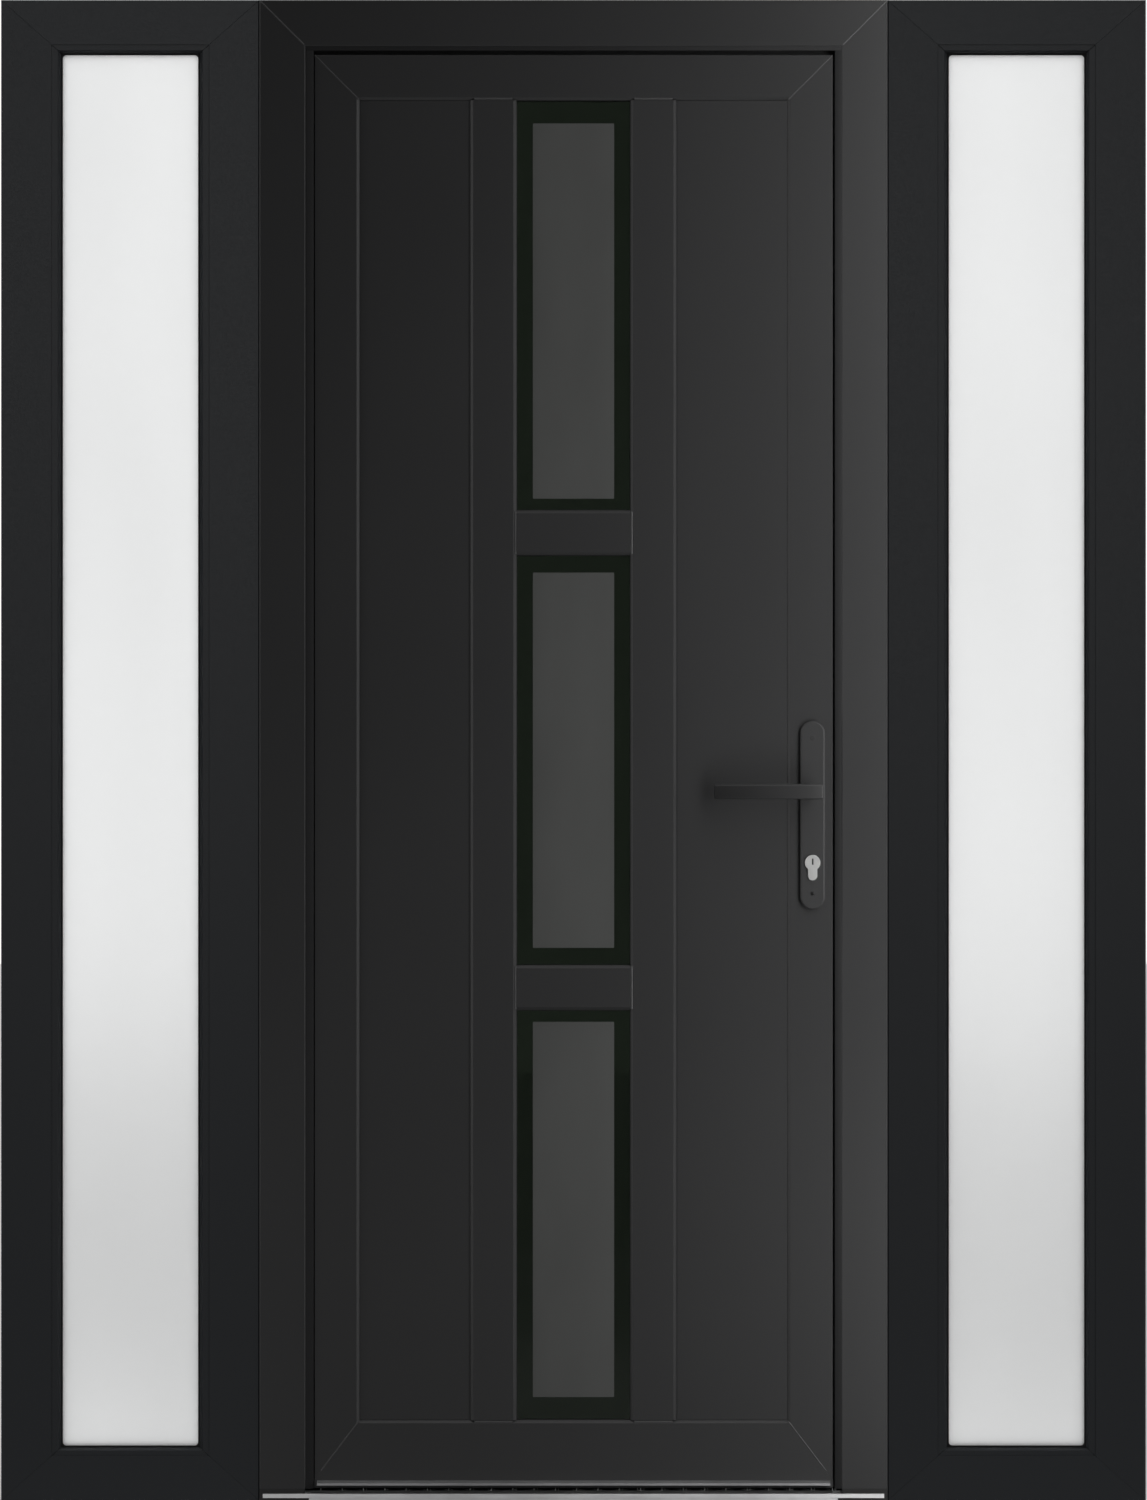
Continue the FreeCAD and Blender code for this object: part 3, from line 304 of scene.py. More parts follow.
def finishPiece(bm, name, slot, body, material=None, smooth=True):
    bmesh.ops.remove_doubles(bm, verts=bm.verts, dist=1e-7)
    bmesh.ops.recalc_face_normals(bm, faces=bm.faces)
    mesh = bpy.data.meshes.new(name)
    bm.to_mesh(mesh)
    bm.free()
    mesh.materials.append(material or bySlot[slot])
    for face in mesh.polygons:
        face.use_smooth = smooth
    piece = bpy.data.objects.new(name, mesh)
    scene.collection.objects.link(piece)
    if smooth:
        mesh.set_sharp_from_angle(angle=math.radians(40))
    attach(piece, body)
    return piece


def addBlock(bm, low, high):
    middle = [(a + b) / 2 for a, b in zip(low, high)]
    size = [b - a for a, b in zip(low, high)]
    place = Matrix.Translation(middle) @ Matrix.Diagonal((*size, 1))
    return bmesh.ops.create_cube(bm, size=1, matrix=place)["verts"]


def bevelAll(bm, verts, width, segments):
    edges = list({edge for vert in verts for edge in vert.link_edges})
    bmesh.ops.bevel(bm, geom=edges, offset=width, offset_type="OFFSET", affect="EDGES",
                    segments=segments, profile=0.5, material=-1, clamp_overlap=True)


def edgesOf(faces):
    return list({edge for face in faces for edge in face.edges})


def vertsOf(faces):
    return list({vert for face in faces for vert in face.verts})


# Levers: a flat bar on a round neck that bows back towards the leaf

lever = {
    "height": 22 * mm,
    "thickness": 11 * mm,
    "corner": 3.4 * mm,
    "endRim": 2.4 * mm,
    "heel": 15 * mm,            # from the axis to the short end
    "straight": 10 * mm,        # from the axis to where the bow starts
    "bow": 260 * mm,            # its radius
    "reach": 142 * mm,
    "neck": 9 * mm,
    "standOff": 50 * mm,
    "neckStart": 0.6 * mm,      # what the neck stands off the leaf's face
}


def makeLever(name, node, faceY, turn):
    low, high, middle = boxOf(node)
    axisX = high.x - lever["heel"]
    bm = bmesh.new()
    # the section at the heel: one face with rounded corners
    section = bmesh.ops.create_grid(bm, x_segments=1, y_segments=1, size=0.5)["verts"]
    bmesh.ops.scale(bm, verts=section, vec=(lever["height"], lever["thickness"], 1))
    bmesh.ops.bevel(bm, geom=section, offset=lever["corner"], offset_type="OFFSET",
                    affect="VERTICES", segments=5, profile=0.5, material=-1)
    upright = Matrix(((0, 0, 1, 0), (0, 1, 0, 0), (-1, 0, 0, 0), (0, 0, 0, 1)))
    bmesh.ops.transform(bm, matrix=upright, verts=bm.verts)
    bmesh.ops.translate(bm, vec=(lever["heel"], -lever["standOff"], 0), verts=bm.verts)
    run = bmesh.ops.extrude_face_region(bm, geom=list(bm.faces))["geom"]
    moved = [v for v in run if isinstance(v, bmesh.types.BMVert)]
    bmesh.ops.translate(bm, vec=(-lever["heel"] - lever["straight"], 0, 0), verts=moved)
    tip = [f for f in run if isinstance(f, bmesh.types.BMFace)]
    # from there it runs on in one long bow
    centre = (-lever["straight"], lever["bow"] - lever["standOff"], 0)
    across = lever["reach"] - lever["thickness"] / 4 - lever["straight"]
    bmesh.ops.spin(bm, geom=tip + edgesOf(tip) + vertsOf(tip), cent=centre, axis=(0, 0, -1),
                   angle=math.asin(across / lever["bow"]), steps=22, use_merge=False,
                   use_duplicate=False)
    bmesh.ops.recalc_face_normals(bm, faces=bm.faces)
    rims = edgesOf([f for f in bm.faces if len(f.verts) > 4])
    bmesh.ops.bevel(bm, geom=rims, offset=lever["endRim"], offset_type="OFFSET",
                    affect="EDGES", segments=4, profile=0.5, material=-1)
    # the neck that turns in the plate
    depth = lever["standOff"] - lever["neckStart"]
    place = (Matrix.Translation((0, -lever["neckStart"] - depth / 2, 0))
             @ Matrix.Rotation(math.radians(90), 4, "X"))
    bmesh.ops.create_cone(bm, cap_ends=True, segments=64, radius1=lever["neck"],
                          radius2=lever["neck"], depth=depth, matrix=place)
    spun = Matrix.Translation((axisX, faceY, middle.z)) @ Matrix.Rotation(turn, 4, "X")
    bmesh.ops.transform(bm, matrix=spun, verts=bm.verts)
    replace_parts(finishPiece(bm, name, "handle_coating", "handle"), node)


leafLow, leafHigh = boxOf("leaf_lock_stile")[:2]
makeLever("leverOutside", "outside_lever", leafLow.y, 0)
makeLever("leverInside", "inside_lever", leafHigh.y, math.pi)
print("levers")


# Screw heads: a low dome with a shallow pit

screws = {
    "plateHead": 3.9 * mm,
    "plateProud": 0.2 * mm,
    "plateAbove": 77 * mm,      # from the lever's axis, as the photo shows them
    "plateBelow": 146 * mm,
    "edgeHead": 3.8 * mm,
    "edgeProud": 0.5 * mm,
    "hingeHead": 4.4 * mm,
    "hingeProud": 1.2 * mm,
    "hingeStep": 45 * mm,
    "faceplateIn": 12 * mm,     # from the ends of the faceplate
    "strikeIn": 9 * mm,         # from the ends of the strike plate
    "segments": 36,
    "crown": 0.86,              # the dome's top as a share of its foot
    "rim": 0.32,                # what stands round the pit, as a share of the radius
    "pit": 0.15,                # its depth as a share of the head
}


def addScrew(bm, point, outward, radius, proud):
    # the head stands on the surface at point
    fresh = bmesh.new()
    bmesh.ops.create_circle(fresh, cap_ends=True, segments=screws["segments"], radius=radius)
    up = bmesh.ops.extrude_face_region(fresh, geom=list(fresh.faces))["geom"]
    top = [v for v in up if isinstance(v, bmesh.types.BMVert)]
    bmesh.ops.translate(fresh, vec=(0, 0, proud), verts=top)
    bmesh.ops.scale(fresh, vec=(screws["crown"], screws["crown"], 1), verts=top)
    cap = [f for f in up if isinstance(f, bmesh.types.BMFace)]
    ring = bmesh.ops.inset_region(fresh, faces=cap, thickness=radius * screws["rim"],
                                  depth=0)["faces"]
    cap = [f for f in fresh.faces if f not in ring and len(f.verts) > 4
           and f.calc_center_median().z > proud / 2]
    pit = bmesh.ops.extrude_face_region(fresh, geom=cap)["geom"]
    bottom = [v for v in pit if isinstance(v, bmesh.types.BMVert)]
    bmesh.ops.translate(fresh, vec=(0, 0, -proud * screws["pit"]), verts=bottom)
    bmesh.ops.recalc_face_normals(fresh, faces=fresh.faces)
    aim = Vector((0, 0, 1)).rotation_difference(Vector(outward)).to_matrix().to_4x4()
    bmesh.ops.transform(fresh, matrix=Matrix.Translation(point) @ aim, verts=fresh.verts)
    spare = bpy.data.meshes.new("spare")
    fresh.to_mesh(spare)
    fresh.free()
    bm.from_mesh(spare)
    bpy.data.meshes.remove(spare)


plateScrewMaterial = powderCoat("plateScrewCoat", finishes["screwColour"], 0.5, 0.2, 0)
spindleMiddle = boxOf("spindle")[2]
handleX, handleZ = spindleMiddle.x, spindleMiddle.z
bm = bmesh.new()
for node, side in (("outside_plate", -1), ("inside_plate", 1)):
    low, high = boxOf(node)[:2]
    face = low.y if side < 0 else high.y
    for z in (handleZ + screws["plateAbove"], handleZ - screws["plateBelow"]):
        addScrew(bm, (handleX, face, z), (0, side, 0), screws["plateHead"], screws["plateProud"])
finishPiece(bm, "plateScrews", "handle_coating", "leaf", plateScrewMaterial)

bm = bmesh.new()
low, high, middle = boxOf("lock_faceplate")
for z in (low.z + screws["faceplateIn"], high.z - screws["faceplateIn"]):
    addScrew(bm, (high.x, middle.y, z), (1, 0, 0), screws["edgeHead"], screws["edgeProud"])
finishPiece(bm, "faceplateScrews", "lock_steel", "leaf")

bm = bmesh.new()
low, high, middle = boxOf("strike_plate")
for z in (low.z + screws["strikeIn"], middle.z, high.z - screws["strikeIn"]):
    addScrew(bm, (low.x, middle.y, z), (-1, 0, 0), screws["edgeHead"], screws["edgeProud"])
finishPiece(bm, "strikeScrews", "lock_steel", "frame")

hinges = {
    "plateThickness": 5 * mm,
    "half": 64.5 * mm,          # half the height of one hinge
    "frameScrewsX": -421 * mm,
    "leafScrewsX": -364 * mm,
}
low, high, middle = boxOf("hinge_frame_halves")
face = low.y + hinges["plateThickness"]
for node, x, body in (("hinge_frame_halves", hinges["frameScrewsX"], "frame"),
                      ("hinge_leaf_halves", hinges["leafScrewsX"], "leaf")):
    bm = bmesh.new()
    for height in (low.z + hinges["half"], middle.z, high.z - hinges["half"]):
        for step in (-1, 0, 1):
            addScrew(bm, (x, face, height + step * screws["hingeStep"]), (0, 1, 0),
                     screws["hingeHead"], screws["hingeProud"])
    finishPiece(bm, "screws_" + node, "lock_steel", body)
print("screws")


# The cylinder's inside face: a plug with a real key slot, standing a hair proud

insidePlug = {
    "headRadius": 11 * mm,
    "radius": 6.3 * mm,
    "proud": 0.35 * mm,
    "slotWidth": 2.4 * mm,
    "slotHeight": 9 * mm,
    "slotRise": 1.5 * mm,
}
low, high, middle = boxOf("lock_cylinder")
halfWide, halfTall = insidePlug["slotWidth"] / 2, insidePlug["slotHeight"] / 2
slotMiddle = insidePlug["slotRise"]
slotSides = (
    ((halfWide, 0, 0), (1, 0, 0)),
    ((-halfWide, 0, 0), (1, 0, 0)),
    ((0, slotMiddle + halfTall, 0), (0, 1, 0)),
    ((0, slotMiddle - halfTall, 0), (0, 1, 0)),
)
bm = bmesh.new()
bmesh.ops.create_circle(bm, cap_ends=True, segments=64, radius=insidePlug["radius"])
for point, normal in slotSides:
    bmesh.ops.bisect_plane(bm, geom=bm.verts[:] + bm.edges[:] + bm.faces[:],
                           plane_co=point, plane_no=normal)
inSlot = [f for f in bm.faces
          if abs(f.calc_center_median().x) < halfWide / 2
          and abs(f.calc_center_median().y - slotMiddle) < halfTall / 2]
bmesh.ops.delete(bm, geom=inSlot, context="FACES")
up = bmesh.ops.extrude_face_region(bm, geom=list(bm.faces))["geom"]
moved = [v for v in up if isinstance(v, bmesh.types.BMVert)]
bmesh.ops.translate(bm, vec=(0, 0, insidePlug["proud"]), verts=moved)
axisZ = high.z - insidePlug["headRadius"]
place = Matrix.Translation((middle.x, high.y, axisZ)) @ Matrix.Rotation(math.radians(-90), 4, "X")
bmesh.ops.transform(bm, matrix=place @ Matrix.Rotation(math.pi, 4, "Z"), verts=bm.verts)
finishPiece(bm, "insidePlugFace", "cylinder_nickel", "leaf")

# wards fill both keyways, two ribs side by side outside and a single one inside; their near-black
# colour is painted shade for the depth of the keyway
wards = {
    "sink": 0.35 * mm,
    "depth": 14 * mm,
    "side": 0.05 * mm,
    "step": 0.3 * mm,           # how much deeper one rib lies than the other
    "round": 0.15 * mm,
    "insideShare": 0.35,        # of the inside plug's height, on both sides of its foot
}
keywayShadeMaterial = brushedMetal("keywayShadeSteel", finishes["keywayShadeColour"], 0.5, (1, 1, 1), 0)
aside = halfWide - wards["side"]
rise = halfTall - wards["side"]
low, high, middle = boxOf("cylinder_plug")
z = middle.z + slotMiddle
front = low.y + wards["sink"]
bm = bmesh.new()
for side, deeper in ((-1, 0), (1, wards["step"])):
    left, right = sorted((middle.x, middle.x + side * aside))
    rib = addBlock(bm, (left, front + deeper, z - rise), (right, front + wards["depth"], z + rise))
    bevelAll(bm, rib, wards["round"], 2)
finishPiece(bm, "keyWardsShade", "lock_steel", "plug", keywayShadeMaterial)

low, high, middle = boxOf("lock_cylinder")
z = axisZ + slotMiddle
shade = insidePlug["proud"] * wards["insideShare"]
# the inside rib is a near-black sheet in the shallow slot, painted shade for the keyhole
bm = bmesh.new()
rib = addBlock(bm, (middle.x - aside, high.y - shade, z - rise),
               (middle.x + aside, high.y + shade, z + rise))
bevelAll(bm, rib, shade / 3, 2)
finishPiece(bm, "insideKeywayShade", "lock_steel", "leaf", keywayShadeMaterial)
print("inside plug and wards")


# Brush under the leaf: tufts of pile that hang from a thin holder to just above the threshold

brush = {
    "holder": 1.2 * mm,
    "sink": 0.4 * mm,
    "clear": 0.3 * mm,
    "rows": 4,
    "perPatch": 20,
    "patches": 25,
    "root": 0.62 * mm,
    "tip": 0.38 * mm,
    "lean": 0.35 * mm,
    "start": 0.35,              # of a pitch, before the first tuft
    "stagger": 0.3,             # of a pitch, between one row and the next
    "sides": 5,
    "round": 0.3 * mm,
}
low, high = boxOf("bottom_brush")[:2]
tips = thresholdTop + brush["clear"]
rng = random.Random(7)
patch = bmesh.new()
patchLength = (high.x - low.x) / brush["patches"]
pitch = patchLength / brush["perPatch"]
rowStep = (high.y - low.y) / brush["rows"]
for row in range(brush["rows"]):
    for count in range(brush["perPatch"]):
        across = count + brush["start"] + brush["stagger"] * (row % 2)
        root = Vector((across * pitch, low.y + (row + 0.5) * rowStep, high.z - brush["sink"]))
        end = Vector((root.x + rng.uniform(-1, 1) * brush["lean"],
                      root.y + rng.uniform(-1, 1) * brush["lean"],
                      tips + rng.uniform(0, 1) * brush["lean"]))
        run = root - end
        aim = Vector((0, 0, 1)).rotation_difference(run.normalized()).to_matrix().to_4x4()
        bmesh.ops.create_cone(patch, cap_ends=True, segments=brush["sides"],
                              radius1=brush["tip"], radius2=brush["root"], depth=run.length,
                              matrix=Matrix.Translation((root + end) / 2) @ aim)
patchMesh = bpy.data.meshes.new("brushPatch")
patch.to_mesh(patchMesh)
patch.free()
bm = bmesh.new()
for step in range(brush["patches"]):
    before = len(bm.verts)
    bm.from_mesh(patchMesh)
    bm.verts.ensure_lookup_table()
    bmesh.ops.translate(bm, vec=(low.x + step * patchLength, 0, 0), verts=bm.verts[before:])
bpy.data.meshes.remove(patchMesh)
holder = addBlock(bm, (low.x, low.y, high.z - brush["holder"]), tuple(high))
bevelAll(bm, holder, brush["round"], 2)
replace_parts(finishPiece(bm, "brushStrip", "brush_pile", "leaf"), "bottom_brush")
print("brush")


# Mitre seams: a fine raised bead stands along each mitre, outside and inside, coloured lighter
# than the coat as a painted highlight of the mitre line

seam = {
    "halfWidth": 1.0 * mm,
    "proud": 0.45 * mm,
    "endRoom": 1.5 * mm,        # what a bead stops short of its bar's corners
    "fineHalfWidth": 0.3 * mm,
    "fineProud": 0.04 * mm,
    "footRoom": 9 * mm,         # and what it stops short of the leaf's lower corners
    "jointHalfWidth": 1.5 * mm,
    "jointSink": 0.9 * mm,
    "jointProud": 0.7 * mm,
    "jointAside": 1.6 * mm,     # from the mullion's edge
    "segments": 14,
}
seamHighlightMaterial = powderCoat("seamHighlightCoat", finishes["seamHighlightColour"], 0.40, 0.45, 0)
leafSeamHighlightMaterial = powderCoat("leafSeamHighlightCoat", finishes["leafSeamHighlightColour"], 0.42, 0.40, 0)


def addSeam(bm, start, end, y, halfWidth, proud):
    # a flattened rod half sunk in the bars' faces
    start, end = Vector((start[0], y, start[1])), Vector((end[0], y, end[1]))
    run = (end - start).normalized()
    length = (end - start).length - 2 * seam["endRoom"]
    aim = Vector((0, 0, 1)).rotation_difference(run).to_matrix().to_4x4()
    flat = Matrix.Diagonal((1, proud / halfWidth, 1, 1))
    bmesh.ops.create_cone(bm, cap_ends=True, segments=seam["segments"], radius1=halfWidth,
                          radius2=halfWidth, depth=length,
                          matrix=Matrix.Translation((start + end) / 2) @ flat @ aim)


frameLow, frameHigh = boxOf("frame_head")[:2]
railLow, railHigh = boxOf("leaf_bottom_rail")[:2]
bars = {
    "frameFace": 65 * mm,       # flat width of a frame bar before its lip
    "frameWall": 54.5 * mm,     # and of its inside face
    "leafGap": 6 * mm,
    "leafBar": 65 * mm,
    "leafBarInside": 63 * mm,
    "leafBevel": 4 * mm,
    "footStart": 11.5 * mm,     # where the foot's mitre starts above the leaf's underside
    "transomHeight": 64 * mm,
    "sideStile": 72 * mm,
    "sideRail": 64 * mm,
}
footSlope = (railHigh.z - railLow.z - bars["footStart"]) / bars["leafBar"]
footZ = railLow.z + bars["footStart"]
leafFace = railHigh.x
leafTop = leafHigh.z - (leafHigh.x - leafFace)


def mitre(x, z, length, slope=-1):
    return (x, z), (x - length, z + slope * length)


bm = bmesh.new()
for y, length in ((frameLow.y, bars["frameFace"]), (frameHigh.y, bars["frameWall"])):
    for side in (-1, 1):
        start, end = mitre(frameHigh.x, frameHigh.z, length)
        addSeam(bm, (side * start[0], start[1]), (side * end[0], end[1]), y,
                seam["halfWidth"], seam["proud"])
finishPiece(bm, "frameSeamHighlights", "door_frame_coating", "frame", seamHighlightMaterial)

bm = bmesh.new()
footRoom = seam["footRoom"]
insideFoot = leafFace - (leafHigh.x - bars["leafBarInside"])
leafMitres = (
    (leafLow.y, mitre(leafFace, leafTop, bars["leafBar"])),
    (leafLow.y, mitre(leafFace - footRoom, footZ + footSlope * footRoom,
                      bars["leafBar"] - footRoom, footSlope)),
    (leafHigh.y, mitre(leafHigh.x, leafHigh.z, bars["leafBarInside"])),
    (leafHigh.y, mitre(leafFace, footZ, insideFoot, footSlope)),
)
for side in (-1, 1):
    for y, (start, end) in leafMitres:
        addSeam(bm, (side * start[0], start[1]), (side * end[0], end[1]), y,
                seam["halfWidth"], seam["proud"])
finishPiece(bm, "leafSeamHighlights", "leaf_coating", "leaf", leafSeamHighlightMaterial)

# where a bar ends against another, the same lighter bead, a painted highlight, lies in the groove
# of the other bar's bevel
bm = bmesh.new()
y = leafLow.y + seam["jointSink"]
bevel = bars["leafBevel"]
mullionLow, mullionHigh = boxOf("right_mullion")[:2]
transomLow, transomHigh = boxOf("transoms")[:2]
headLow = boxOf("leaf_top_rail")[0].z
for side in (-1, 1):
    x = side * (mullionLow.x + seam["jointAside"])
    for z in (transomLow.z, transomHigh.z - bars["transomHeight"]):
        addSeam(bm, (x, z), (x, z + bars["transomHeight"]), y, seam["jointHalfWidth"],
                seam["jointProud"])
    near, far = side * (mullionLow.x + bevel), side * (mullionHigh.x - bevel)
    for z in (headLow + bevel / 2, railHigh.z - bevel / 2):
        addSeam(bm, (near, z), (far, z), y, seam["jointHalfWidth"], seam["jointProud"])
finishPiece(bm, "jointSeamHighlights", "leaf_coating", "leaf", seamHighlightMaterial)

# the sidelights' mitres are closed tighter, so only a hairline shows
bm = bmesh.new()
for side in ("left", "right"):
    for stile in ("outer", "inner"):
        low, high = boxOf(f"{side}_light_{stile}_stile")[:2]
        towards = 1 if (stile == "outer") == (side == "left") else -1
        x = low.x if towards > 0 else high.x
        for z, up in ((low.z, 1), (high.z, -1)):
            end = x + towards * bars["sideStile"], z + up * bars["sideRail"]
            for y in (low.y, high.y):
                addSeam(bm, (x, z), end, y, seam["fineHalfWidth"], seam["fineProud"])
finishPiece(bm, "sidelightSeams", "sidelight_coating", "frame")
print("mitre seams")


# Dark strips on the frame's lip, shaped as flat rubber gaskets that fill its step beside the gap
# to the leaf; their dark colour is painted shade for the shaded lip and gap

lipShadeGasket = {
    "front": 34.2 * mm,         # how far it stands out from the frame's middle
    "back": 32.8 * mm,
    "sunk": 0.8 * mm,           # how far its outer edge sits in the step
    "overGap": 3.2 * mm,        # what the lock side's strip reaches over the gap
    "hingeGap": 0.7 * mm,       # what the hinge side's strip leaves open beside the leaf
    "round": 0.3 * mm,
    "foot": 17.6 * mm,          # the height at which the upright strips start
}
lipShadeMaterial = softPolymer("lipShadeRubber", finishes["lipShadeColour"], 0.55, 900, 0.15, 0.15)
lipEdge = leafFace + bars["leafGap"]
topEdge = leafTop + bars["leafGap"]
outer = frameHigh.x - bars["frameFace"] + lipShadeGasket["sunk"]
bm = bmesh.new()
for side, inner in ((-1, leafFace + lipShadeGasket["hingeGap"]), (1, lipEdge - lipShadeGasket["overGap"])):
    x = sorted((side * inner, side * outer))
    bar = addBlock(bm, (x[0], -lipShadeGasket["front"], lipShadeGasket["foot"]),
                   (x[1], -lipShadeGasket["back"], topEdge))
    bevelAll(bm, bar, lipShadeGasket["round"], 2)
bar = addBlock(bm, (-outer, -lipShadeGasket["front"], topEdge),
               (outer, -lipShadeGasket["back"], frameHigh.z - bars["frameFace"] + lipShadeGasket["sunk"]))
bevelAll(bm, bar, lipShadeGasket["round"], 2)
finishPiece(bm, "lipShadeGaskets", "seal_rubber", "frame", lipShadeMaterial)

# foam pads close the slot under the leaf at both ends of the threshold
footPad = {
    "width": 18.3 * mm,
    "near": -4.6 * mm,
    "far": 5 * mm,
    "top": 17.2 * mm,
    "round": 0.8 * mm,
}
foam = softPolymer("padFoam", finishes["foamColour"], 0.85, 420, 0.5)
padOuter = frameHigh.x - bars["frameWall"]
bm = bmesh.new()
for side in (-1, 1):
    x = sorted((side * (padOuter - footPad["width"]), side * padOuter))
    pad = addBlock(bm, (x[0], footPad["near"], thresholdTop),
                   (x[1], footPad["far"], footPad["top"]))
    bevelAll(bm, pad, footPad["round"], 3)
finishPiece(bm, "footPads", "seal_rubber", "frame", foam)
print("gaskets and pads")


# Frosted fields on the lites

frostField = {
    "sideBorder": 23.5 * mm,
    "levelBorder": 25 * mm,
    "thickness": 0.15 * mm,
    "shift": 8 * mm,            # the outer two stand this much nearer to the middle one
}
frostMaterial = frostFilm("frostFilm", finishes["frostColour"])
cover = boxOf("left_mullion")[1].x - boxOf("bottom_lite_glass")[0].x
bm = bmesh.new()
aside = cover + frostField["sideBorder"]
level = cover + frostField["levelBorder"]
for step, node in ((1, "bottom_lite_glass"), (0, "middle_lite_glass"), (-1, "top_lite_glass")):
    low, high = boxOf(node)[:2]
    shift = step * frostField["shift"]
    addBlock(bm, (low.x + aside, low.y - frostField["thickness"], low.z + level + shift),
             (high.x - aside, low.y, high.z - level + shift))
finishPiece(bm, "frostedFields", "lite_glass", "leaf", frostMaterial, smooth=False)
print("frosted fields")


# Studio: pale floor, white surroundings, soft lamps and the photo's straight view

studio = {
    "floorSize": 60,
    "floorColour": (0.80, 0.80, 0.80),
    "floorShown": 0.32,         # what the floor glows for the camera, on top of its colour
    "floorMirrored": 0.30,      # how bright the door's glass mirrors it
    "floorFade": (-2.6, -1.2),  # where that starts and where it's full, front to back
    "floorSpill": 0.04,         # its colour for all other rays, so that little comes back up
    "white": 1.0,
    "roomLight": 0.018,         # what the white room throws on the pieces
    "faceY": -0.035,            # the frame's outside face
    "lens": 400,
    "photoHeight": 2.1485,      # what the picture spans at that face
    "cameraHeight": 1.0755,
    "nearest": 0.5,
    "farthest": 200,
    "sunPower": 0.75,
    "sunAngle": 40,
    "sunRay": (-0.5, 0.9, -1.6),    # the way it shines
}


def rayLevel(tree, other, **levels):
    # one level for each named kind of ray, and one for all other rays
    path = addNode(tree, "LightPath")
    value = other
    for kind, level in levels.items():
        step = addNode(tree, "Mix", {"Factor": path.outputs[f"Is {kind} Ray"], "A": value,
                                     "B": level}, data_type="FLOAT")
        value = step.outputs["Result"]
    return value


floorMaterial, tree, shader = startMaterial("paleFloor")
seen = addNode(tree, "LightPath").outputs["Is Camera Ray"]
# far in front it mirrors dark, like the curtain above it, or the lites would show its edge
inFront = addNode(tree, "SeparateXYZ", {"Vector": objectPoints(tree)}).outputs["Y"]
mirrored = spread(tree, inFront, 0, studio["floorMirrored"], *studio["floorFade"])
setSockets(tree, shader, {
    "Base Color": tint(tree, seen, [studio["floorSpill"]] * 3, studio["floorColour"]),
    "Roughness": 0.75,
    "Specular IOR Level": 0.2,
    "Emission Color": (1, 1, 1, 1),
    "Emission Strength": rayLevel(tree, 0, Glossy=mirrored,
                                  Transmission=studio["white"], Camera=studio["floorShown"]),
})
bm = bmesh.new()
bmesh.ops.create_grid(bm, x_segments=1, y_segments=1, size=studio["floorSize"])
floorMesh = bpy.data.meshes.new("studioFloor")
bm.to_mesh(floorMesh)
bm.free()
floorMesh.materials.append(floorMaterial)
floor = bpy.data.objects.new("studioFloor", floorMesh)
floor.location.z = -0.5 * mm
scene.collection.objects.link(floor)
floor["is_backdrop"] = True


def addScreen(name, place, width, height, colour, level, glossy, transmission):
    # an upright cloth that only mirrored or only passing rays meet
    material, tree, shader = startMaterial(name)
    folds = noise(tree, objectPoints(tree, (1, 1, 0.05)), 1.2, 2)
    dark, light = shades(colour, 0.06)
    setSockets(tree, shader, {
        "Base Color": tint(tree, spread(tree, folds, 0, 1), dark, light),
        "Roughness": 0.9,
        "Emission Color": (1, 1, 1, 1),
        "Emission Strength": level,
    })
    bm = bmesh.new()
    upright = (Matrix.Translation(place) @ Matrix.Rotation(math.radians(90), 4, "X")
               @ Matrix.Diagonal((width / 2, height / 2, 1, 1)))
    bmesh.ops.create_grid(bm, x_segments=1, y_segments=1, size=1, matrix=upright)
    mesh = bpy.data.meshes.new(name)
    bm.to_mesh(mesh)
    bm.free()
    mesh.materials.append(material)
    screen = bpy.data.objects.new(name, mesh)
    scene.collection.objects.link(screen)
    screen.visible_camera = False
    screen.visible_diffuse = False
    screen.visible_shadow = False
    screen.visible_glossy = glossy
    screen.visible_transmission = transmission
    screen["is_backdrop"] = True
    return screen


# a dark curtain far in front of the door, so that the glass has something dark to mirror,
# and a low grey screen behind it, so that the milky glass darkens towards its foot
curtain = addScreen("darkCurtain", place=(-17, -12, 1), width=56, height=16,
                    colour=(0.05, 0.05, 0.05), level=0, glossy=True, transmission=False)
lowScreen = addScreen("lowScreen", place=(0, 1.1, 0.14), width=5, height=0.9,
                      colour=(0.30, 0.30, 0.30), level=0.62, glossy=False, transmission=True)

world = bpy.data.worlds.new("studioWorld")
scene.world = world
world.use_nodes = True
tree = world.node_tree
tree.nodes.clear()
glow = addNode(tree, "Background", {
    "Color": (1, 1, 1, 1),
    "Strength": rayLevel(tree, studio["roomLight"], Glossy=studio["white"],
                         Transmission=studio["white"], Camera=studio["white"]),
})
addNode(tree, "OutputWorld", {"Surface": glow.outputs["Background"]})

lamps = {
    # name: place, aim, power in watts, width, height, and what it lights
    "keyRight": ((0.80, -0.70, 1.25), (0.00, 0, 1.13), 16.0, 0.45, 2.4, "door"),
    "rimLeft": ((-2.4, -0.6, 1.3), (0, 0, 1.1), 12.0, 0.6, 2.2, "flats"),
    "lowLeft": ((-1.2, -1.3, 0.20), (-0.3, 0, 0.20), 2.8, 0.8, 0.3, "flats"),
    "lowRight": ((0.80, -0.90, 0.25), (0.25, 0, 0.25), 2.0, 0.5, 0.45, "door"),
    "sideFront": ((0, -7.0, 2.0), (0, 0, 1.5), 60, 4.0, 2.0, "sidelights"),
    "edgeRight": ((1.9, -0.30, 1.0), (0.35, 0, 0.98), 6, 0.3, 1.2, "plate"),
    "backWash": ((0, 3.2, 2.6), (0, 0.2, 1.0), 85, 3.0, 1.8, "pieces"),
}
lit = {name: bpy.data.collections.new("lit_" + name)
       for name in ("door", "flats", "sidelights", "pieces", "plate", "floor")}
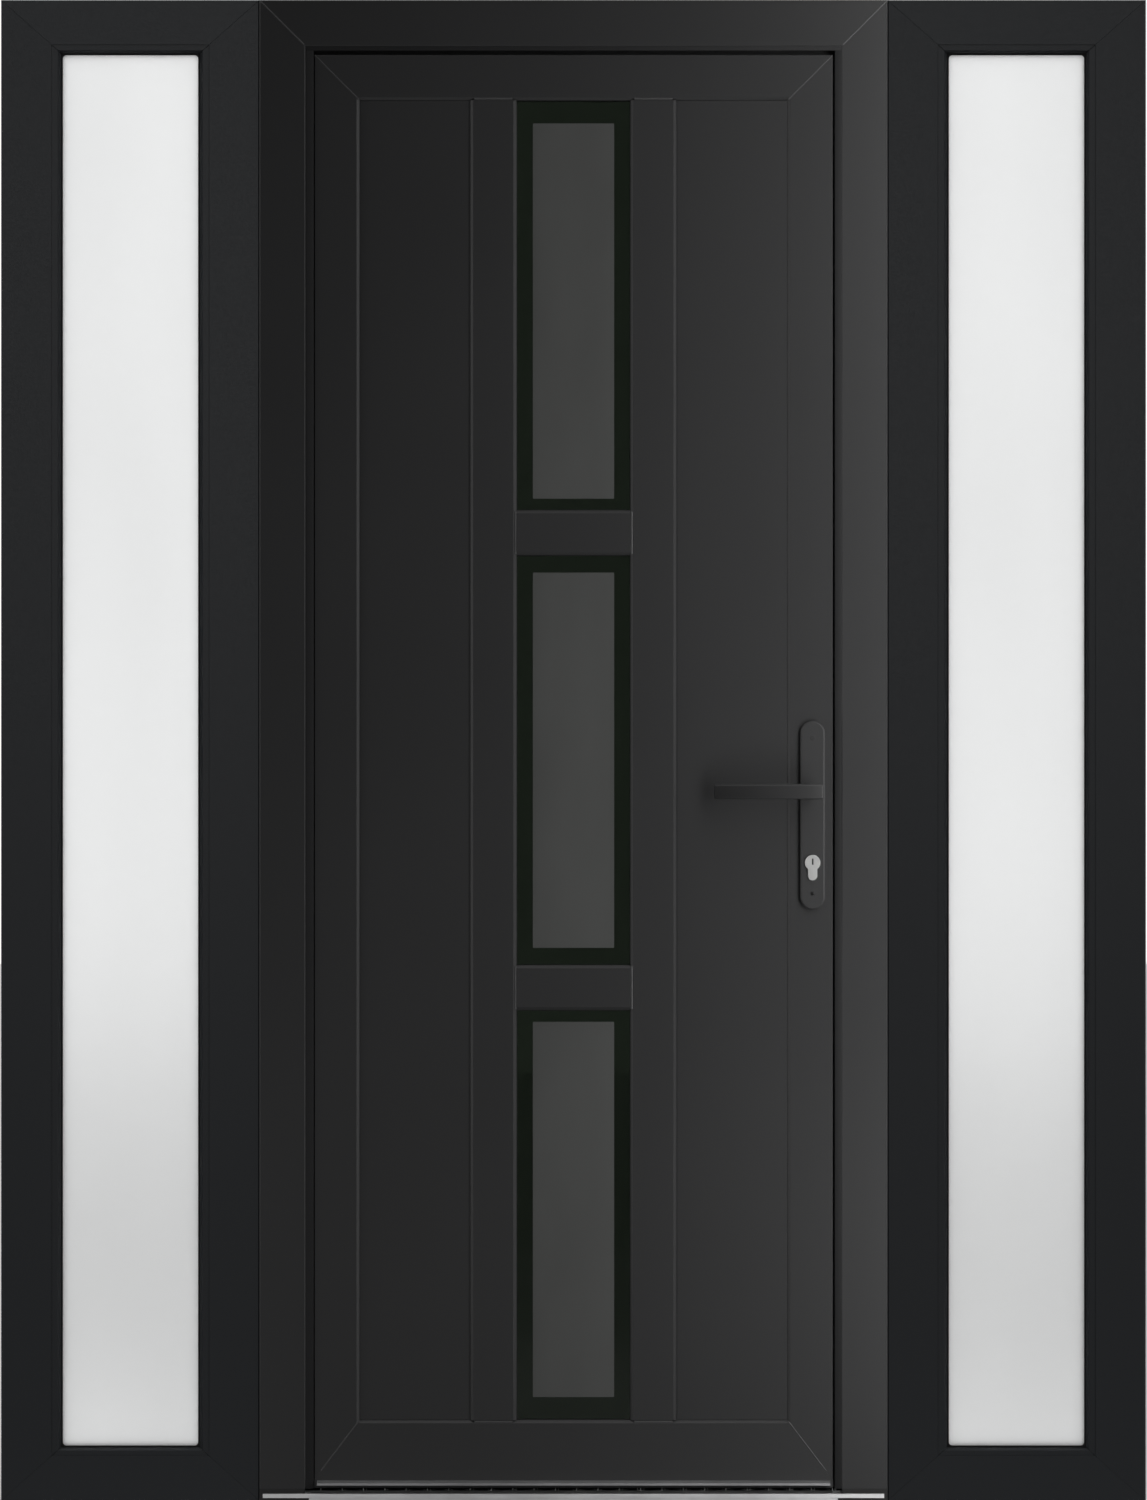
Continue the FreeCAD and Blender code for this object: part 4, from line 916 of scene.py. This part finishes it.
for piece in scene.collection.objects:
    # no lamp lights the lites, which would mirror it as a hard white patch
    if piece.type != "MESH" or piece in (curtain, lowScreen) or piece.name.endswith("lite_glass"):
        continue
    side = piece.name.startswith(("left_light", "right_light", "sidelight"))
    lit["sidelights" if side or piece == floor else "door"].objects.link(piece)
    if not side and piece != floor and not piece.name.startswith("lever"):
        lit["flats"].objects.link(piece)
    if piece != floor and not piece.name.endswith("light_glass"):
        lit["pieces"].objects.link(piece)
lit["plate"].objects.link(frame["nodes"]["outside_plate"])
lit["floor"].objects.link(floor)
for name, (place, aim, power, width, height, group) in lamps.items():
    data = bpy.data.lights.new(name, "AREA")
    data.shape = "RECTANGLE"
    data.size, data.size_y = width, height
    data.energy = power
    lamp = bpy.data.objects.new(name, data)
    lamp.location = place
    lamp.rotation_euler = (Vector(aim) - Vector(place)).to_track_quat("-Z", "Y").to_euler()
    lamp.visible_camera = False
    lamp.visible_transmission = False
    lamp.light_linking.receiver_collection = lit[group]
    scene.collection.objects.link(lamp)

# one wide soft sun on the floor alone, so that the door casts its shadow there
sun = bpy.data.lights.new("floorSun", "SUN")
sun.energy = studio["sunPower"]
sun.angle = math.radians(studio["sunAngle"])
floorSun = bpy.data.objects.new("floorSun", sun)
floorSun.rotation_euler = Vector(studio["sunRay"]).to_track_quat("-Z", "Y").to_euler()
floorSun.light_linking.receiver_collection = lit["floor"]
scene.collection.objects.link(floorSun)

camera = bpy.data.cameras.new("studioCamera")
camera.sensor_fit = "AUTO"
camera.lens = studio["lens"]
cameraObject = bpy.data.objects.new("studioCamera", camera)
# so far off that the photo's height fills the sensor
reach = studio["photoHeight"] * camera.lens / camera.sensor_width
cameraObject.location = (0, studio["faceY"] - reach, studio["cameraHeight"])
cameraObject.rotation_euler = (math.radians(90), 0, 0)
camera.clip_start = studio["nearest"]
camera.clip_end = studio["farthest"]
scene.collection.objects.link(cameraObject)
scene.camera = cameraObject
scene.view_settings.view_transform = "Standard"
print("studio")

low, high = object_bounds()
